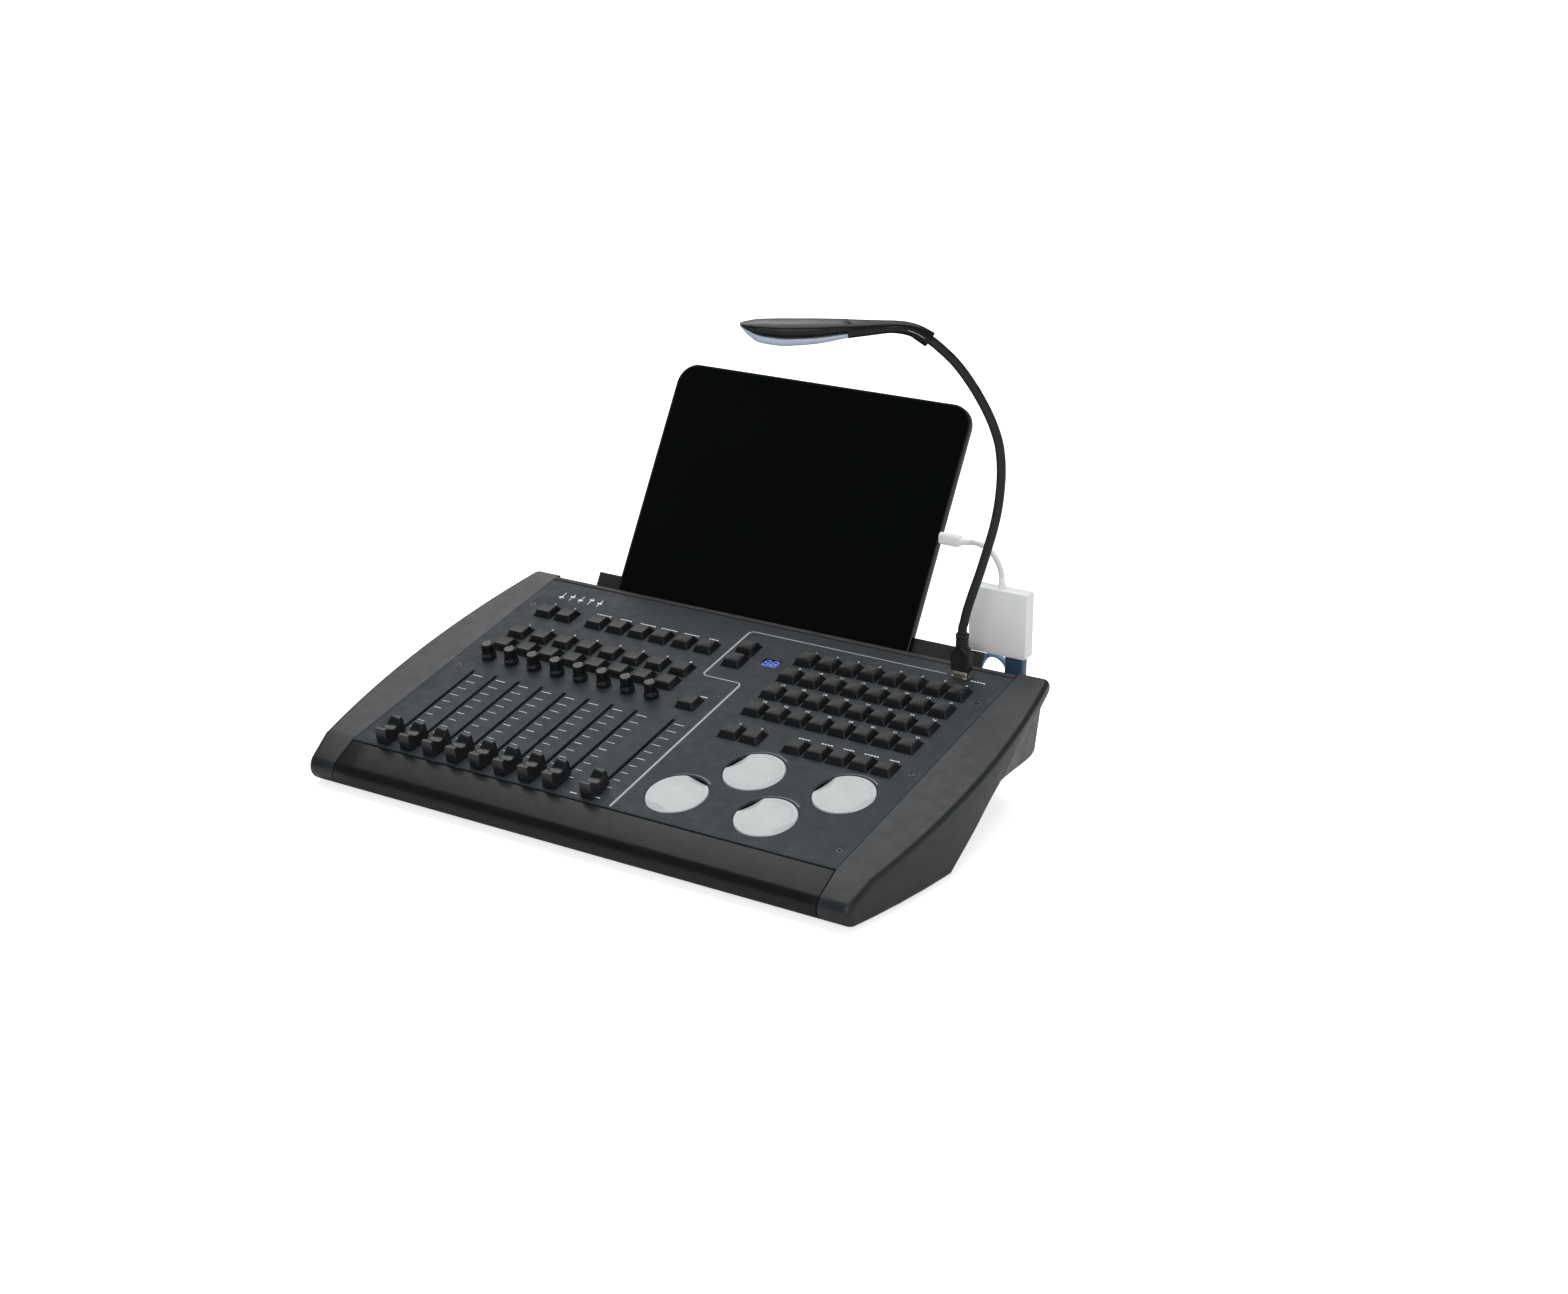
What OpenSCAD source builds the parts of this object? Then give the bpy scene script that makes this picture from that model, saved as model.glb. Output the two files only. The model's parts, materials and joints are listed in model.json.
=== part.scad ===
// Lighting control desk: nine faders, eight knobs, four wheels and sixty-six keys on a
// sloping panel between two cheeks, with a tablet in a dock behind it, a gooseneck lamp
// in a USB socket, and a display adapter on short leads. Millimetres, +Z up, +X to the
// operator's right, +Y away from the operator. Z = 0 is the table under the feet.

/* [Panel] */
// Width of the panel between the cheeks
panel_w = 440; // [438:0.5:441]
// Length of the panel up its slope
panel_l = 262; // [261:0.5:262.5]
// Slope of the panel in degrees
tilt = 13; // [12.8:0.1:13.2]
// Height of the panel's front edge above the table
front_z = 34.7; // [34.5:0.1:35]
// Thickness of the panel
panel_t = 2; // [1.8:0.1:2.2]

/* [Controls] */
// Distance between two faders
fader_pitch = 23; // [22.8:0.1:23.2]
// Travel of a fader
fader_travel = 100; // [60:10:100]
// Distance between two keys in a row
key_pitch = 19.2; // [19:0.1:19.4]
// Width of a key at the panel
key_w = 17; // [16:0.25:17]
// Height of a key above the panel
key_h = 5; // [4:0.25:6]
// Radius of a wheel's hole in the panel
wheel_hole_r = 24.2; // [23.5:0.1:24.5]

/* [Tablet] */
// Width of the tablet, standing on its long side
tablet_w = 280.6; // [240:1:281]
// Height of the tablet
tablet_h = 214.9; // [170:1:220]
// Thickness of the tablet
tablet_t = 6; // [5.5:0.1:6.2]
// Lean of the tablet back from upright in degrees
lean = 29.6; // [28:0.2:31]

/* [Lamp] */
// Diameter of the lamp's flexible neck
neck_d = 7; // [6:0.5:7.5]
// Heading of the lamp's head about Z in degrees
lamp_heading = 212.9; // [200:1:225]

/* [Hidden] */
$fn = 48;

// ---- outline of the case, seen from the side: [y, z] ----
wall = 2;
foot_h = 3.5;
slope_t = tan(tilt);
nose = [-15, 14];
nose_r = 10.5;
nose_y = nose[0] - nose_r;
rail_back = -1;
tray_half = 205;
tray_rear = 260;
tray_rear_top = 72.4;
tray_corner_top = 87.3;
dock_half = 184;
foot_x = 170;
foot_y = [16, 236];
m3_hole_r = 1.6;
m3_r = 1.5;
head_r = 2.9;
head_h = 1.3;
seam_x = panel_w / 2 + 0.3;
ledge_x = tray_half + 0.4;
ledge_lift = 0.6;
cheek_mid_x = 238;
bulge_x = 260.5;
bulge_y = 121;
bulge_r2 = 1400;
cheek_round = 5;
fin_r = 6.2;
fin_y = 262.5;

function top_z(y) = front_z + y * slope_t;
function under_z(y) = top_z(y) - panel_t / cos(tilt) - 0.05;
function arc(c, r, a0, a1, n) =
    [for (i = [0:n]) let(a = a0 + (a1 - a0) * i / n) [c[0] + r * cos(a), c[1] + r * sin(a)]];
function outer_x(y) = bulge_x - (y - bulge_y) * (y - bulge_y) / bulge_r2;

// ---- tablet frame: its front bottom edge, then X, up the lean, and back ----
dock_v = 269.4;
dock_depth = 15.6;
tablet_x = -17.3;
tablet_y0 = dock_v * cos(tilt) - dock_depth * sin(lean);
tablet_z0 = front_z + dock_v * sin(tilt) - dock_depth * cos(lean);
rear_y = tablet_y0 + tablet_h * sin(lean) + tablet_t * cos(lean);
mid_y = (nose_y + rear_y) / 2;

// ---- controls on the panel: [u, v], across and up the slope from the front edge ----
fader_u0 = -192.2;
master_u = 3.8;
fader_v = 14;
knob_v = 138.5;
knob_u0 = -192.8;
shaft_r = 3;
bore_r = 3.05;
flash_u0 = -192.2;
flash_v = [179.3, 158.8];
menu_v = 215;
menu_u = [-190.9, -170.7, -139.2, -117.6, -96.2, -75.4, -53, -31.1];
control_key = [[2.4, 140.3]];
display_keys = [[2.2, 224.6], [2.2, 205.4]];
cue_u0 = 56.4;
cue_v = [226.6, 201.6, 176.4, 150.9];
command_v = 118;
command_u = [56.6, 75.6, 113.6, 132.8, 152, 171.2, 190.4];
wheels = [[63, 34.1], [101, 79.9], [140.2, 34.1], [178.3, 79.9]];
display_at = [30.3, 213.5];
screw_v = [19.4, 120.5, 221.6];
screw_u = 211;
lamp_at = [180.5, 244.4, 91.1];
slot_w = 3.2;
slot_clear = 0.5;
lever_l = 6;
key_gap = 0.4;
key_skirt = 4;
key_top = [12, 11.5];
board_h = -12;
wheel_board_h = -16;
usb_x = 150;
dmx_x = 60;
power_x = 105;
switch_x = -150;
socket_z = 45;

module desk() translate([0, -mid_y, 0]) children();
module on_panel() desk() translate([0, 0, front_z]) rotate([tilt, 0, 0]) children();
module in_dock() desk() translate([0, tablet_y0, tablet_z0]) rotate([-lean, 0, 0]) children();
module lamp_frame() desk() translate(lamp_at) rotate([0, 0, lamp_heading]) children();
// a side outline [y, z] made solid from x0 to x1
module from_side(x0, x1, pts)
    translate([x0, 0, 0]) rotate([90, 0, 90]) linear_extrude(x1 - x0) polygon(pts);
module box(low, high) translate(low) cube(high - low);

// ---- skins through rings of points, and tubes along a route ----
module loft(rings, near = undef, far = undef) {
    n = len(rings[0]);
    m = len(rings);
    sides = [for (r = [0:m - 2], i = [0:n - 1]) let(j = (i + 1) % n)
        each [[r * n + i, r * n + j, (r + 1) * n + i], [r * n + j, (r + 1) * n + j, (r + 1) * n + i]]];
    whole = [[for (i = [0:n - 1]) i]];
    last = (m - 1) * n;
    low_end = [for (f = is_undef(near) ? whole : near) [for (i = [len(f) - 1:-1:0]) f[i]]];
    high_end = [for (f = is_undef(far) ? whole : far) [for (i = f) last + i]];
    polyhedron([for (r = rings, p = r) p], concat(sides, low_end, high_end));
}
// triangles between an outline's upper and lower edges, each step to the nearer next point,
// so that a face bowed along y keeps its curve
function zip(up, low, y, i = 0, j = 0) =
    i == len(up) - 1 && j == len(low) - 1 ? []
    : j == len(low) - 1 || (i < len(up) - 1 && y[up[i + 1]] < y[low[j + 1]])
    ? concat([[up[i], up[i + 1], low[j]]], zip(up, low, y, i + 1, j))
    : concat([[up[i], low[j + 1], low[j]]], zip(up, low, y, i, j + 1));
function bowed_face(pts) = let(y = [for (p = pts) p[0]], n = len(y),
    front = [for (i = [0:n - 1]) if (y[i] == min(y)) i][0],
    rear = [for (i = [0:n - 1]) if (y[i] == max(y)) i][0],
    faces = zip([for (i = [front:rear]) i], [for (i = [front:-1:rear - n]) (i + n) % n], y))
    [for (f = faces) if (f[0] != f[1] && f[1] != f[2] && f[2] != f[0]) f];
function unit(v) = v / norm(v);
function heading(p, i) = unit(p[min(i + 1, len(p) - 1)] - p[max(i - 1, 0)]);
function side_of(t, up) = unit(cross(t, up));
module tube(path, r, up, sides = 8)
    loft([for (i = [0:len(path) - 1]) let(t = heading(path, i), a = side_of(t, up), b = cross(t, a))
        [for (k = [0:sides - 1]) let(w = -360 * k / sides) path[i] + r * (a * cos(w) + b * sin(w))]]);

// ---- case ----
// lower rim of the cheek's inner part, and the crease of its outer wall above it
sole = [for (y = [93, 62, 31, 5]) [y, foot_h]];
rim_in = concat([[258, 38.5], [249, 35], [214, 33], [180, 29.5], [152, 26], [125, 21]], sole);
rim_out = concat([[261, 81.5], [245, 77.3], [214, 69], [180, 53.7], [152, 41], [125, 23.7]], sole);
nose_top = 118;
front_arc = arc(nose, nose_r, 270, nose_top, 9);
panel_line = [for (y = [0, 40, 80, 120, 160, 200, 230, 252]) [y, top_z(y)]];
fin = [fin_y, top_z(fin_y) - fin_r / cos(tilt)];
fin_out = arc(fin, fin_r, 90 + tilt, -75, 6);
fin_in = [for (p = fin_out) [min(p[0], 266), p[1]]];
function outline(end, rim) = concat(front_arc, panel_line, end, rim);
// points moved inwards by d along the outline's own normals
function inset(pts, d) = [for (i = [0:len(pts) - 1])
    let(n = len(pts), t = unit(pts[(i + 1) % n] - pts[(i + n - 1) % n]))
    pts[i] + d * [t[1], -t[0]]];
function ring(pts, back) = [for (p = pts) [outer_x(p[0]) - back, p[0], p[1]]];
function flat_ring(pts, x) = [for (p = pts) [x, p[0], p[1]]];

module cheek() desk() {
    inner = outline(fin_in, rim_in);
    outer = outline(fin_out, rim_out);
    creased = [for (i = [0:len(inner) - 1]) i < len(inner) - len(rim_in) ? outer[i] : inner[i]];
    r = cheek_round;
    rounds = [for (a = [15, 40, 65, 90]) ring(inset(outer, r * (1 - cos(a))), r * (1 - sin(a)))];
    rings = concat([flat_ring(inner, seam_x), flat_ring(inner, cheek_mid_x - 2),
        flat_ring(creased, cheek_mid_x), ring(outer, r)], rounds);
    ledge = concat([[1.6, foot_h + ledge_lift], [1.6, under_z(1.6)], [254, under_z(254)]],
        [for (p = rim_in) if (p[0] > 10) [min(p[0], 254), p[1] + ledge_lift]]);
    pocket = [[8, foot_h + 4], [8, top_z(8) - 13], [250, top_z(250) - 13], [250, 42], [214, 38],
        [152, 31], [95, 12], [88, foot_h + 4]];
    difference() {
        union() {
            loft(rings, bowed_face(inner), bowed_face(inset(outer, r)));
            from_side(ledge_x, seam_x + 1, ledge);
        }
        from_side(ledge_x - 1, cheek_mid_x + 2, pocket);
    }
}
module left_cheek() color("#17181a") mirror([1, 0, 0]) cheek();
module right_cheek() color("#17181a") cheek();

module front_rail() color("#1b1c1f") desk() {
    x = panel_w / 2 - 0.1;
    top = [rail_back, top_z(rail_back) - 0.4];
    skin = concat([[rail_back, foot_h]], front_arc, [top]);
    core = concat([[rail_back - wall, foot_h + wall]], arc(nose, nose_r - wall, 270, nose_top, 9),
        [top - [wall, wall + 1.5]]);
    difference() {
        from_side(-x, x, skin);
        from_side(-x - 1, x + 1, core);
    }
}

module at_feet() for (x = [-foot_x, foot_x], y = foot_y) translate([x, y, 0]) children();
module at_panel_screws() for (s = [-1, 1], v = screw_v) translate([s * screw_u, v, 0]) children();

module base_tray() color("#202124") desk() {
    h = tray_half;
    front = rail_back + 0.4;
    panel_end = tray_rear - 5;
    skin = [[front, foot_h], [front, under_z(front)], [panel_end, under_z(panel_end)],
        [panel_end + 0.1, tray_corner_top], [tray_rear, tray_corner_top], [tray_rear, foot_h]];
    core = [[front + wall, foot_h + wall], [front + wall, 120], [tray_rear - wall, 120],
        [tray_rear - wall, foot_h + wall]];
    difference() {
        from_side(-h, h, skin);
        from_side(-h + wall, h - wall, core);
        box([-dock_half - 0.3, tray_rear - 9, tray_rear_top], [dock_half + 0.3, tray_rear + 1, 120]);
        at_feet() cylinder(h = 10, r = m3_hole_r);
        translate([usb_x, 0, socket_z]) box([-6.6, panel_end, -6.2], [6.6, tray_rear + 1, 6.2]);
        translate([dmx_x, panel_end, socket_z]) rotate([-90, 0, 0]) cylinder(h = 6, r = 12);
        translate([power_x, panel_end, socket_z]) rotate([-90, 0, 0]) cylinder(h = 6, r = 5.6);
        translate([switch_x, 0, socket_z]) box([-10, panel_end, -7], [10, tray_rear + 1, 7]);
    }
    for (x = [-140, 0, 140], y = [50, 180])
        translate([x, y, foot_h + wall - 0.5]) cylinder(h = 4, r = 3.5);
}

module key_wells(list) for (p = list)
    translate([p[0], p[1], 0]) cube([key_w + 2 * key_gap, key_w + 2 * key_gap, 10], center = true);
function row(us, v) = [for (u = us) [u, v]];
flash_us = [for (i = [0:7]) flash_u0 + fader_pitch * i];
cue_us = [for (i = [0:7]) cue_u0 + key_pitch * i];
fader_us = concat([for (i = [0:7]) fader_u0 + fader_pitch * i], [master_u]);

module top_panel() color("#3a3c40") difference() {
    on_panel() difference() {
        box([-panel_w / 2, 0, -panel_t], [panel_w / 2, panel_l, 0]);
        for (u = fader_us) box([u - slot_w / 2, fader_v - lever_l / 2 - slot_clear, -5],
            [u + slot_w / 2, fader_v + fader_travel + lever_l / 2 + slot_clear, 5]);
        for (i = [0:7]) translate([knob_u0 + fader_pitch * i, knob_v, -5]) cylinder(h = 10, r = 4);
        for (w = wheels) translate([w[0], w[1], -5]) cylinder(h = 10, r = wheel_hole_r, $fn = 96);
        key_wells(row(menu_u, menu_v));
        for (v = flash_v) key_wells(row(flash_us, v));
        key_wells(control_key);
        key_wells(display_keys);
        for (v = cue_v) key_wells(row(cue_us, v));
        key_wells(row(command_u, command_v));
        translate([display_at[0], display_at[1], 0]) cube([16.2, 11.2, 10], center = true);
        at_panel_screws() {
            translate([0, 0, -5]) cylinder(h = 10, r = m3_hole_r);
            translate([0, 0, -head_h + 0.1]) cylinder(h = 5, r = head_r + 0.2);
        }
    }
    desk() translate(lamp_at) cube([15, 7.4, 20], center = true);
}

module rubber_feet() color("#101010") desk() at_feet() difference() {
    cylinder(h = foot_h, r = 9);
    translate([0, 0, -1]) cylinder(h = head_h + 1.1, r = head_r + 0.5);
    translate([0, 0, -1]) cylinder(h = 6, r = m3_hole_r);
}

// one M3 screw, head down from z = 0, shank along +Z
module screw(length) {
    difference() {
        cylinder(h = head_h, r = head_r);
        translate([0, 0, -1]) cylinder(h = 1.8, r = 1.1, $fn = 6);
    }
    translate([0, 0, head_h]) cylinder(h = length, r = m3_r);
}
module case_screws() color("#0c0c0d") {
    on_panel() at_panel_screws() translate([0, 0, 0.1]) rotate([180, 0, 0]) screw(7);
    desk() at_feet() translate([0, 0, 0.1]) screw(7);
}

// ---- dock ----
pad_s = 1.2;
module tablet_dock() color("#141517") {
    in_dock() {
        channel = [[-3, 8.6], [-0.5, 8.6], [-0.5, -pad_s], [6.5, -pad_s], [6.5, 12], [9, 12], [9, -4],
            [-3, -4]];
        from_dock(-168, 166, channel);
        from_dock(-dock_half, dock_half, [[6.5, -2], [6.5, 27], [9, 27], [9, -2]]);
        from_dock(-dock_half, dock_half, [[9, 8], [9, -4], [5, -9], [3.2, -9], [6, -2]]);
    }
    lip = [[262.3, -6], [262.3, 0], [263, 0.6], [266.4, 0.6], [267.2, 0], [266.6, -2], [262.9, -6]];
    lip_top = [[262.3, -1.9], [262.3, 0], [263, 0.6], [266.4, 0.6], [267.2, 0], [266.6, -1.9]];
    on_panel() {
        from_side(-tray_half, tray_half, lip);
        from_side(-panel_w / 2 + 0.1, panel_w / 2 - 0.1, lip_top);
    }
}
// a section [back, up the lean] made solid from x0 to x1, in the tablet frame
module from_dock(x0, x1, pts)
    translate([x0, 0, 0]) rotate([90, 0, 90]) linear_extrude(x1 - x0) polygon(pts);
module dock_pad() color("#0b0b0b") in_dock() box([-160, -0.2, -pad_s], [160, 6.2, 0]);

module rounded_slab(w, h, t, r) {
    box([-w / 2 + r, 0, 0], [w / 2 - r, t, h]);
    box([-w / 2, 0, r], [w / 2, t, h - r]);
    for (x = [r - w / 2, w / 2 - r], z = [r, h - r])
        translate([x, 0, z]) rotate([-90, 0, 0]) cylinder(h = t, r = r);
}
glass_t = 1.2;
glass_edge = 1.6;
module tablet_shell() color("#9a9da1") in_dock() translate([tablet_x, 0, 0]) difference() {
    rounded_slab(tablet_w, tablet_h, tablet_t, 18);
    translate([0, -1, glass_edge - 0.05])
        rounded_slab(tablet_w - 2 * glass_edge + 0.1, tablet_h - 2 * glass_edge + 0.1, glass_t + 1,
            16.5);
}
module tablet_glass() color("#05070a") in_dock() translate([tablet_x, 0, glass_edge])
    rounded_slab(tablet_w - 2 * glass_edge, tablet_h - 2 * glass_edge, glass_t, 16.4);

// ---- inside the case ----
module circuit_boards() color("#1f5a36") {
    on_panel() {
        box([-201, 131, board_h - 1.6], [14, 240, board_h]);
        box([44, 108, board_h - 1.6], [201, 238, board_h]);
        box([38, 8, wheel_board_h - 1.6], [201, 104, wheel_board_h]);
        box([20, 205, board_h - 1.6], [42, 222, board_h]);
    }
    desk() {
        box([-150, 40, foot_h + wall + 3.5], [150, 190, foot_h + wall + 5.1]);
        for (x = [-90, 0, 90]) translate([x, 110, foot_h + wall + 5.1]) box([-9, -9, 0], [9, 9, 2]);
    }
}
track_h = [-13.4, -3];
module fader_tracks() color("#8c8f92") on_panel() for (u = fader_us) translate([u, 0, 0]) difference() {
    box([-4.4, 5, track_h[0]], [4.4, 126, track_h[1]]);
    box([-3.2, 6.4, track_h[0] + 1.2], [3.2, 124.6, track_h[1] - 1.2]);
    box([-slot_w / 2, 6.4, track_h[1] - 2], [slot_w / 2, 124.6, track_h[1] + 1]);
}
module encoder(size, top, bottom) difference() {
    union() {
        box([-size / 2, -size / 2, bottom], [size / 2, size / 2, top]);
        translate([0, 0, top - 0.5]) cylinder(h = 3, r = 3.6);
    }
    translate([0, 0, bottom + 0.6]) cylinder(h = 30, r = bore_r);
}
module encoder_bodies() color("#6d7074") on_panel() {
    for (i = [0:7]) translate([knob_u0 + fader_pitch * i, knob_v, 0]) encoder(11, -5.6, board_h);
    for (w = wheels) translate([w[0], w[1], 0]) encoder(14, -12, wheel_board_h);
}
module switches(list) for (p = list) translate([p[0], p[1], board_h]) {
    box([-3.1, -3.1, 0], [3.1, 3.1, 3.4]);
}
module key_switches() color("#2b2b2e") on_panel() {
    switches(row(menu_u, menu_v));
    for (v = flash_v) switches(row(flash_us, v));
    switches(control_key);
    switches(display_keys);
    for (v = cue_v) switches(row(cue_us, v));
    switches(row(command_u, command_v));
}
xlr_pin_r = 1;
rocker_tilt = 8;
rocker_y = -1;
rocker_pin_r = 1.2;
module rear_sockets() color("#b9bcc0") {
    desk() {
        translate([dmx_x, tray_rear, socket_z]) rotate([-90, 0, 0]) {
            difference() {
                union() {
                    translate([-13, -15.5, 0]) cube([26, 31, 1.6]);
                    translate([0, 0, -18]) cylinder(h = 18.5, r = 11.8);
                }
                translate([0, 0, -14]) cylinder(h = 20, r = 9.6);
                for (s = [-1, 1]) translate([9.5 * s, 12 * s, -1]) cylinder(h = 4, r = 1.6);
            }
            translate([0, 0, -15]) difference() {
                cylinder(h = 14.5, r = 7.2);
                for (a = [0:4]) rotate([0, 0, 36 + 72 * a]) translate([4.6, 0, 6])
                    cylinder(h = 10, r = xlr_pin_r);
            }
        }
        translate([usb_x, tray_rear, socket_z]) difference() {
            box([-6.4, -16, -6], [6.4, 0.3, 6]);
            box([-4.4, -12, -4.1], [4.4, 1, 4.1]);
        }
        translate([power_x, tray_rear, socket_z]) rotate([-90, 0, 0]) {
            difference() {
                translate([0, 0, -12]) cylinder(h = 12.4, r = 5.4);
                translate([0, 0, -9]) cylinder(h = 10, r = 3);
            }
            translate([0, 0, -10]) cylinder(h = 9.4, r = 1);
        }
        translate([switch_x, tray_rear, socket_z]) difference() {
            union() {
                box([-9.8, -12, -6.8], [9.8, 1.2, 6.8]);
                box([-12, 0, -9], [12, 1.2, 9]);
            }
            box([-8.4, -10, -5.4], [8.4, 2, 5.4]);
            translate([-9.3, rocker_y, 0]) rotate([0, 90, 0])
                cylinder(h = 18.6, r = rocker_pin_r + 0.05);
        }
        translate(lamp_at) difference() {
            box([-7.2, -3.4, -14], [7.2, 3.4, 0.6]);
            box([-6.3, -2.5, -12.6], [6.3, 2.5, 1]);
        }
    }
}
module power_switch() color("#0e0e0e") desk() translate([switch_x, tray_rear + rocker_y, socket_z])
    rotate([-rocker_tilt, 0, 0]) {
        from_side(-8, 8, [[-2.5, -3.6], [2.6, -4.4], [1.8, 0], [2.6, 4.4], [-2.5, 3.6]]);
        translate([-9.1, 0, 0]) rotate([0, 90, 0]) cylinder(h = 18.2, r = rocker_pin_r);
    }
module display_window() color("#20242b") on_panel() translate([display_at[0], display_at[1], 0]) {
    box([-8, -5.5, -2.4], [8, 5.5, -0.1]);
    box([-9.5, -7, board_h], [9.5, 7, -2.4]);
}

// ---- faders ----
cap_l = 23;
cap_h = [0.8, 13.4];
saddle_h = 9.4;
module fader(u) color("#0f1012") on_panel() translate([u, fader_v, 0]) {
    intersection() {
        translate([0, 0, cap_h[0]]) linear_extrude(20)
            polygon([[-5, -cap_l / 2], [5, -cap_l / 2], [6.4, 0], [5, cap_l / 2], [-5, cap_l / 2],
                [-6.4, 0]]);
        from_side(-7, 7, [[-cap_l / 2, cap_h[0]], [-cap_l / 2 + 0.9, cap_h[1]], [-cap_l / 2 + 1.6, cap_h[1]],
            [-2.2, saddle_h], [2.2, saddle_h], [cap_l / 2 - 1.6, cap_h[1]], [cap_l / 2 - 0.9, cap_h[1]],
            [cap_l / 2, cap_h[0]]]);
        rotate([90, 0, 0]) linear_extrude(40, center = true)
            polygon([[-6.5, cap_h[0]], [6.5, cap_h[0]], [4.6, 15], [-4.6, 15]]);
    }
    box([-0.8, -lever_l / 2, -8], [0.8, lever_l / 2, 2]);
    box([-2.9, -5, -11], [2.9, 5, -5]);
}
module fader_1() fader(fader_us[0]);
module fader_2() fader(fader_us[1]);
module fader_3() fader(fader_us[2]);
module fader_4() fader(fader_us[3]);
module fader_5() fader(fader_us[4]);
module fader_6() fader(fader_us[5]);
module fader_7() fader(fader_us[6]);
module fader_8() fader(fader_us[7]);
module fader_master() fader(fader_us[8]);

// ---- knobs and wheels ----
module knob(i) color("#101113") on_panel() translate([knob_u0 + fader_pitch * i, knob_v, 0])
    rotate_extrude() polygon([[0, -11], [shaft_r, -11], [shaft_r, 0.6], [5.9, 0.6], [6, 3.4], [5.2, 5],
        [4.9, 6.2], [4.6, 13], [4.2, 13.5], [0, 13.5]]);
module knob_1() knob(0);
module knob_2() knob(1);
module knob_3() knob(2);
module knob_4() knob(3);
module knob_5() knob(4);
module knob_6() knob(5);
module knob_7() knob(6);
module knob_8() knob(7);

wheel_r = 23.6;
// two finger scoops on opposite sides of a wheel, each part of a sphere beyond its rim
scoop_r = 26.5;
scoop_at = [29, 22.5];
wheel_turn = [75, -20, -25, -15];
module wheel(i) color("#cfd1d0") on_panel() translate([wheels[i][0], wheels[i][1], 0]) difference() {
    rotate_extrude($fn = 96) polygon([[0, -15], [shaft_r, -15], [shaft_r, -8.4], [6, -8.4], [6, -7],
        [wheel_r - 2, -7], [wheel_r, -5.6], [wheel_r, -0.4], [wheel_r - 1, 0.6], [wheel_r - 2, 0.6],
        [wheel_r - 5, -0.4], [wheel_r - 12, -1.4], [0, -1.8]]);
    for (s = [-1, 1]) rotate([0, 0, wheel_turn[i]])
        translate([s * scoop_at[0], 0, scoop_at[1]]) sphere(r = scoop_r, $fn = 96);
}
module wheel_1() wheel(0);
module wheel_2() wheel(1);
module wheel_3() wheel(2);
module wheel_4() wheel(3);

// ---- keys: a row is one long wedge cut into keys ----
module key_row(list) {
    lo = key_w / 2;
    for (v = unique([for (p = list) p[1]])) intersection() {
        for (p = list) if (p[1] == v) translate([p[0], v, 0]) rotate([90, 0, 0])
            linear_extrude(30, center = true) polygon([[-lo, -key_skirt], [lo, -key_skirt], [lo, 0],
                [key_top[0] / 2, key_h], [-key_top[0] / 2, key_h], [-lo, 0]]);
        translate([0, v, 0]) from_side(-220, 220, [[-lo, -key_skirt], [lo, -key_skirt], [lo, 0],
            [key_top[1] / 2, key_h], [-key_top[1] / 2, key_h], [-lo, 0]]);
    }
    for (p = list) translate([p[0], p[1], 0]) box([-1.5, -1.5, -6.6], [1.5, 1.5, -key_skirt + 0.5]);
}
function unique(v) = [for (i = [0:len(v) - 1]) if (i == 0 || v[i] != v[i - 1]) v[i]];
module keys_menu_row() color("#141518") on_panel() key_row(row(menu_u, menu_v));
module keys_flash_upper() color("#141518") on_panel() key_row(row(flash_us, flash_v[0]));
module keys_flash_lower() color("#141518") on_panel() key_row(row(flash_us, flash_v[1]));
module key_control() color("#141518") on_panel() key_row(control_key);
module keys_display() color("#141518") on_panel() key_row(display_keys);
module keys_cue_row_1() color("#141518") on_panel() key_row(row(cue_us, cue_v[0]));
module keys_cue_row_2() color("#141518") on_panel() key_row(row(cue_us, cue_v[1]));
module keys_cue_row_3() color("#141518") on_panel() key_row(row(cue_us, cue_v[2]));
module keys_cue_row_4() color("#141518") on_panel() key_row(row(cue_us, cue_v[3]));
module keys_command_row() color("#141518") on_panel() key_row(row(command_u, command_v));

// ---- lamp, drawn in its own upright plane: [along the heading, up] ----
ball_r = 3.2;
cup_r = 3.7;
stem_r = 1.8;
plug_top = 34.5;
neck_r = neck_d / 2;
pivots = [[0, 39], [-25.8, 160], [27, 260]];
lower_path = [[-1.2, 44], [-3, 53], [-7, 67], [-12, 83], [-17, 101], [-21.5, 119], [-24.6, 138],
    [-25.7, 156]];
upper_path = [[-25.6, 165], [-24, 180], [-19.6, 195], [-13.4, 209], [-5.6, 223], [3, 235.6],
    [12, 246.6], [22.8, 256.6]];
function upright(p) = [p[0], 0, p[1]];
module ball_on(pivot, from) {
    translate(upright(pivot)) sphere(r = ball_r);
    tube([upright(from), upright(pivot)], stem_r, [0, 1, 0], 12);
}
module neck(path, low, high) lamp_frame() {
    first = low + (path[0] - low) * 0.2;
    difference() {
        tube([for (p = concat([first], path)) upright(p)], neck_r, [0, 1, 0], 12);
        translate(upright(low)) sphere(r = cup_r);
    }
    ball_on(high, path[len(path) - 1] * 0.9 + path[len(path) - 2] * 0.1);
}
module lamp_plug() color("#101112") {
    desk() translate(lamp_at) {
        box([-6, -2.2, -11.5], [6, 2.2, 7]);
        intersection() {
            from_side(-8.2, 8.2, [[-4.3, 5], [4.3, 5], [4.3, 20], [5.2, 24], [5.2, plug_top],
                [-5.2, plug_top], [-5.2, 24], [-4.3, 20]]);
            rotate([90, 0, 0]) linear_extrude(20, center = true)
                polygon([[-7.6, 5], [7.6, 5], [8.2, 17], [5.2, 24], [5.2, plug_top], [-5.2, plug_top],
                    [-5.2, 24], [-8.2, 17]]);
        }
    }
    lamp_frame() ball_on(pivots[0], [0, plug_top - 1]);
}
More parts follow.
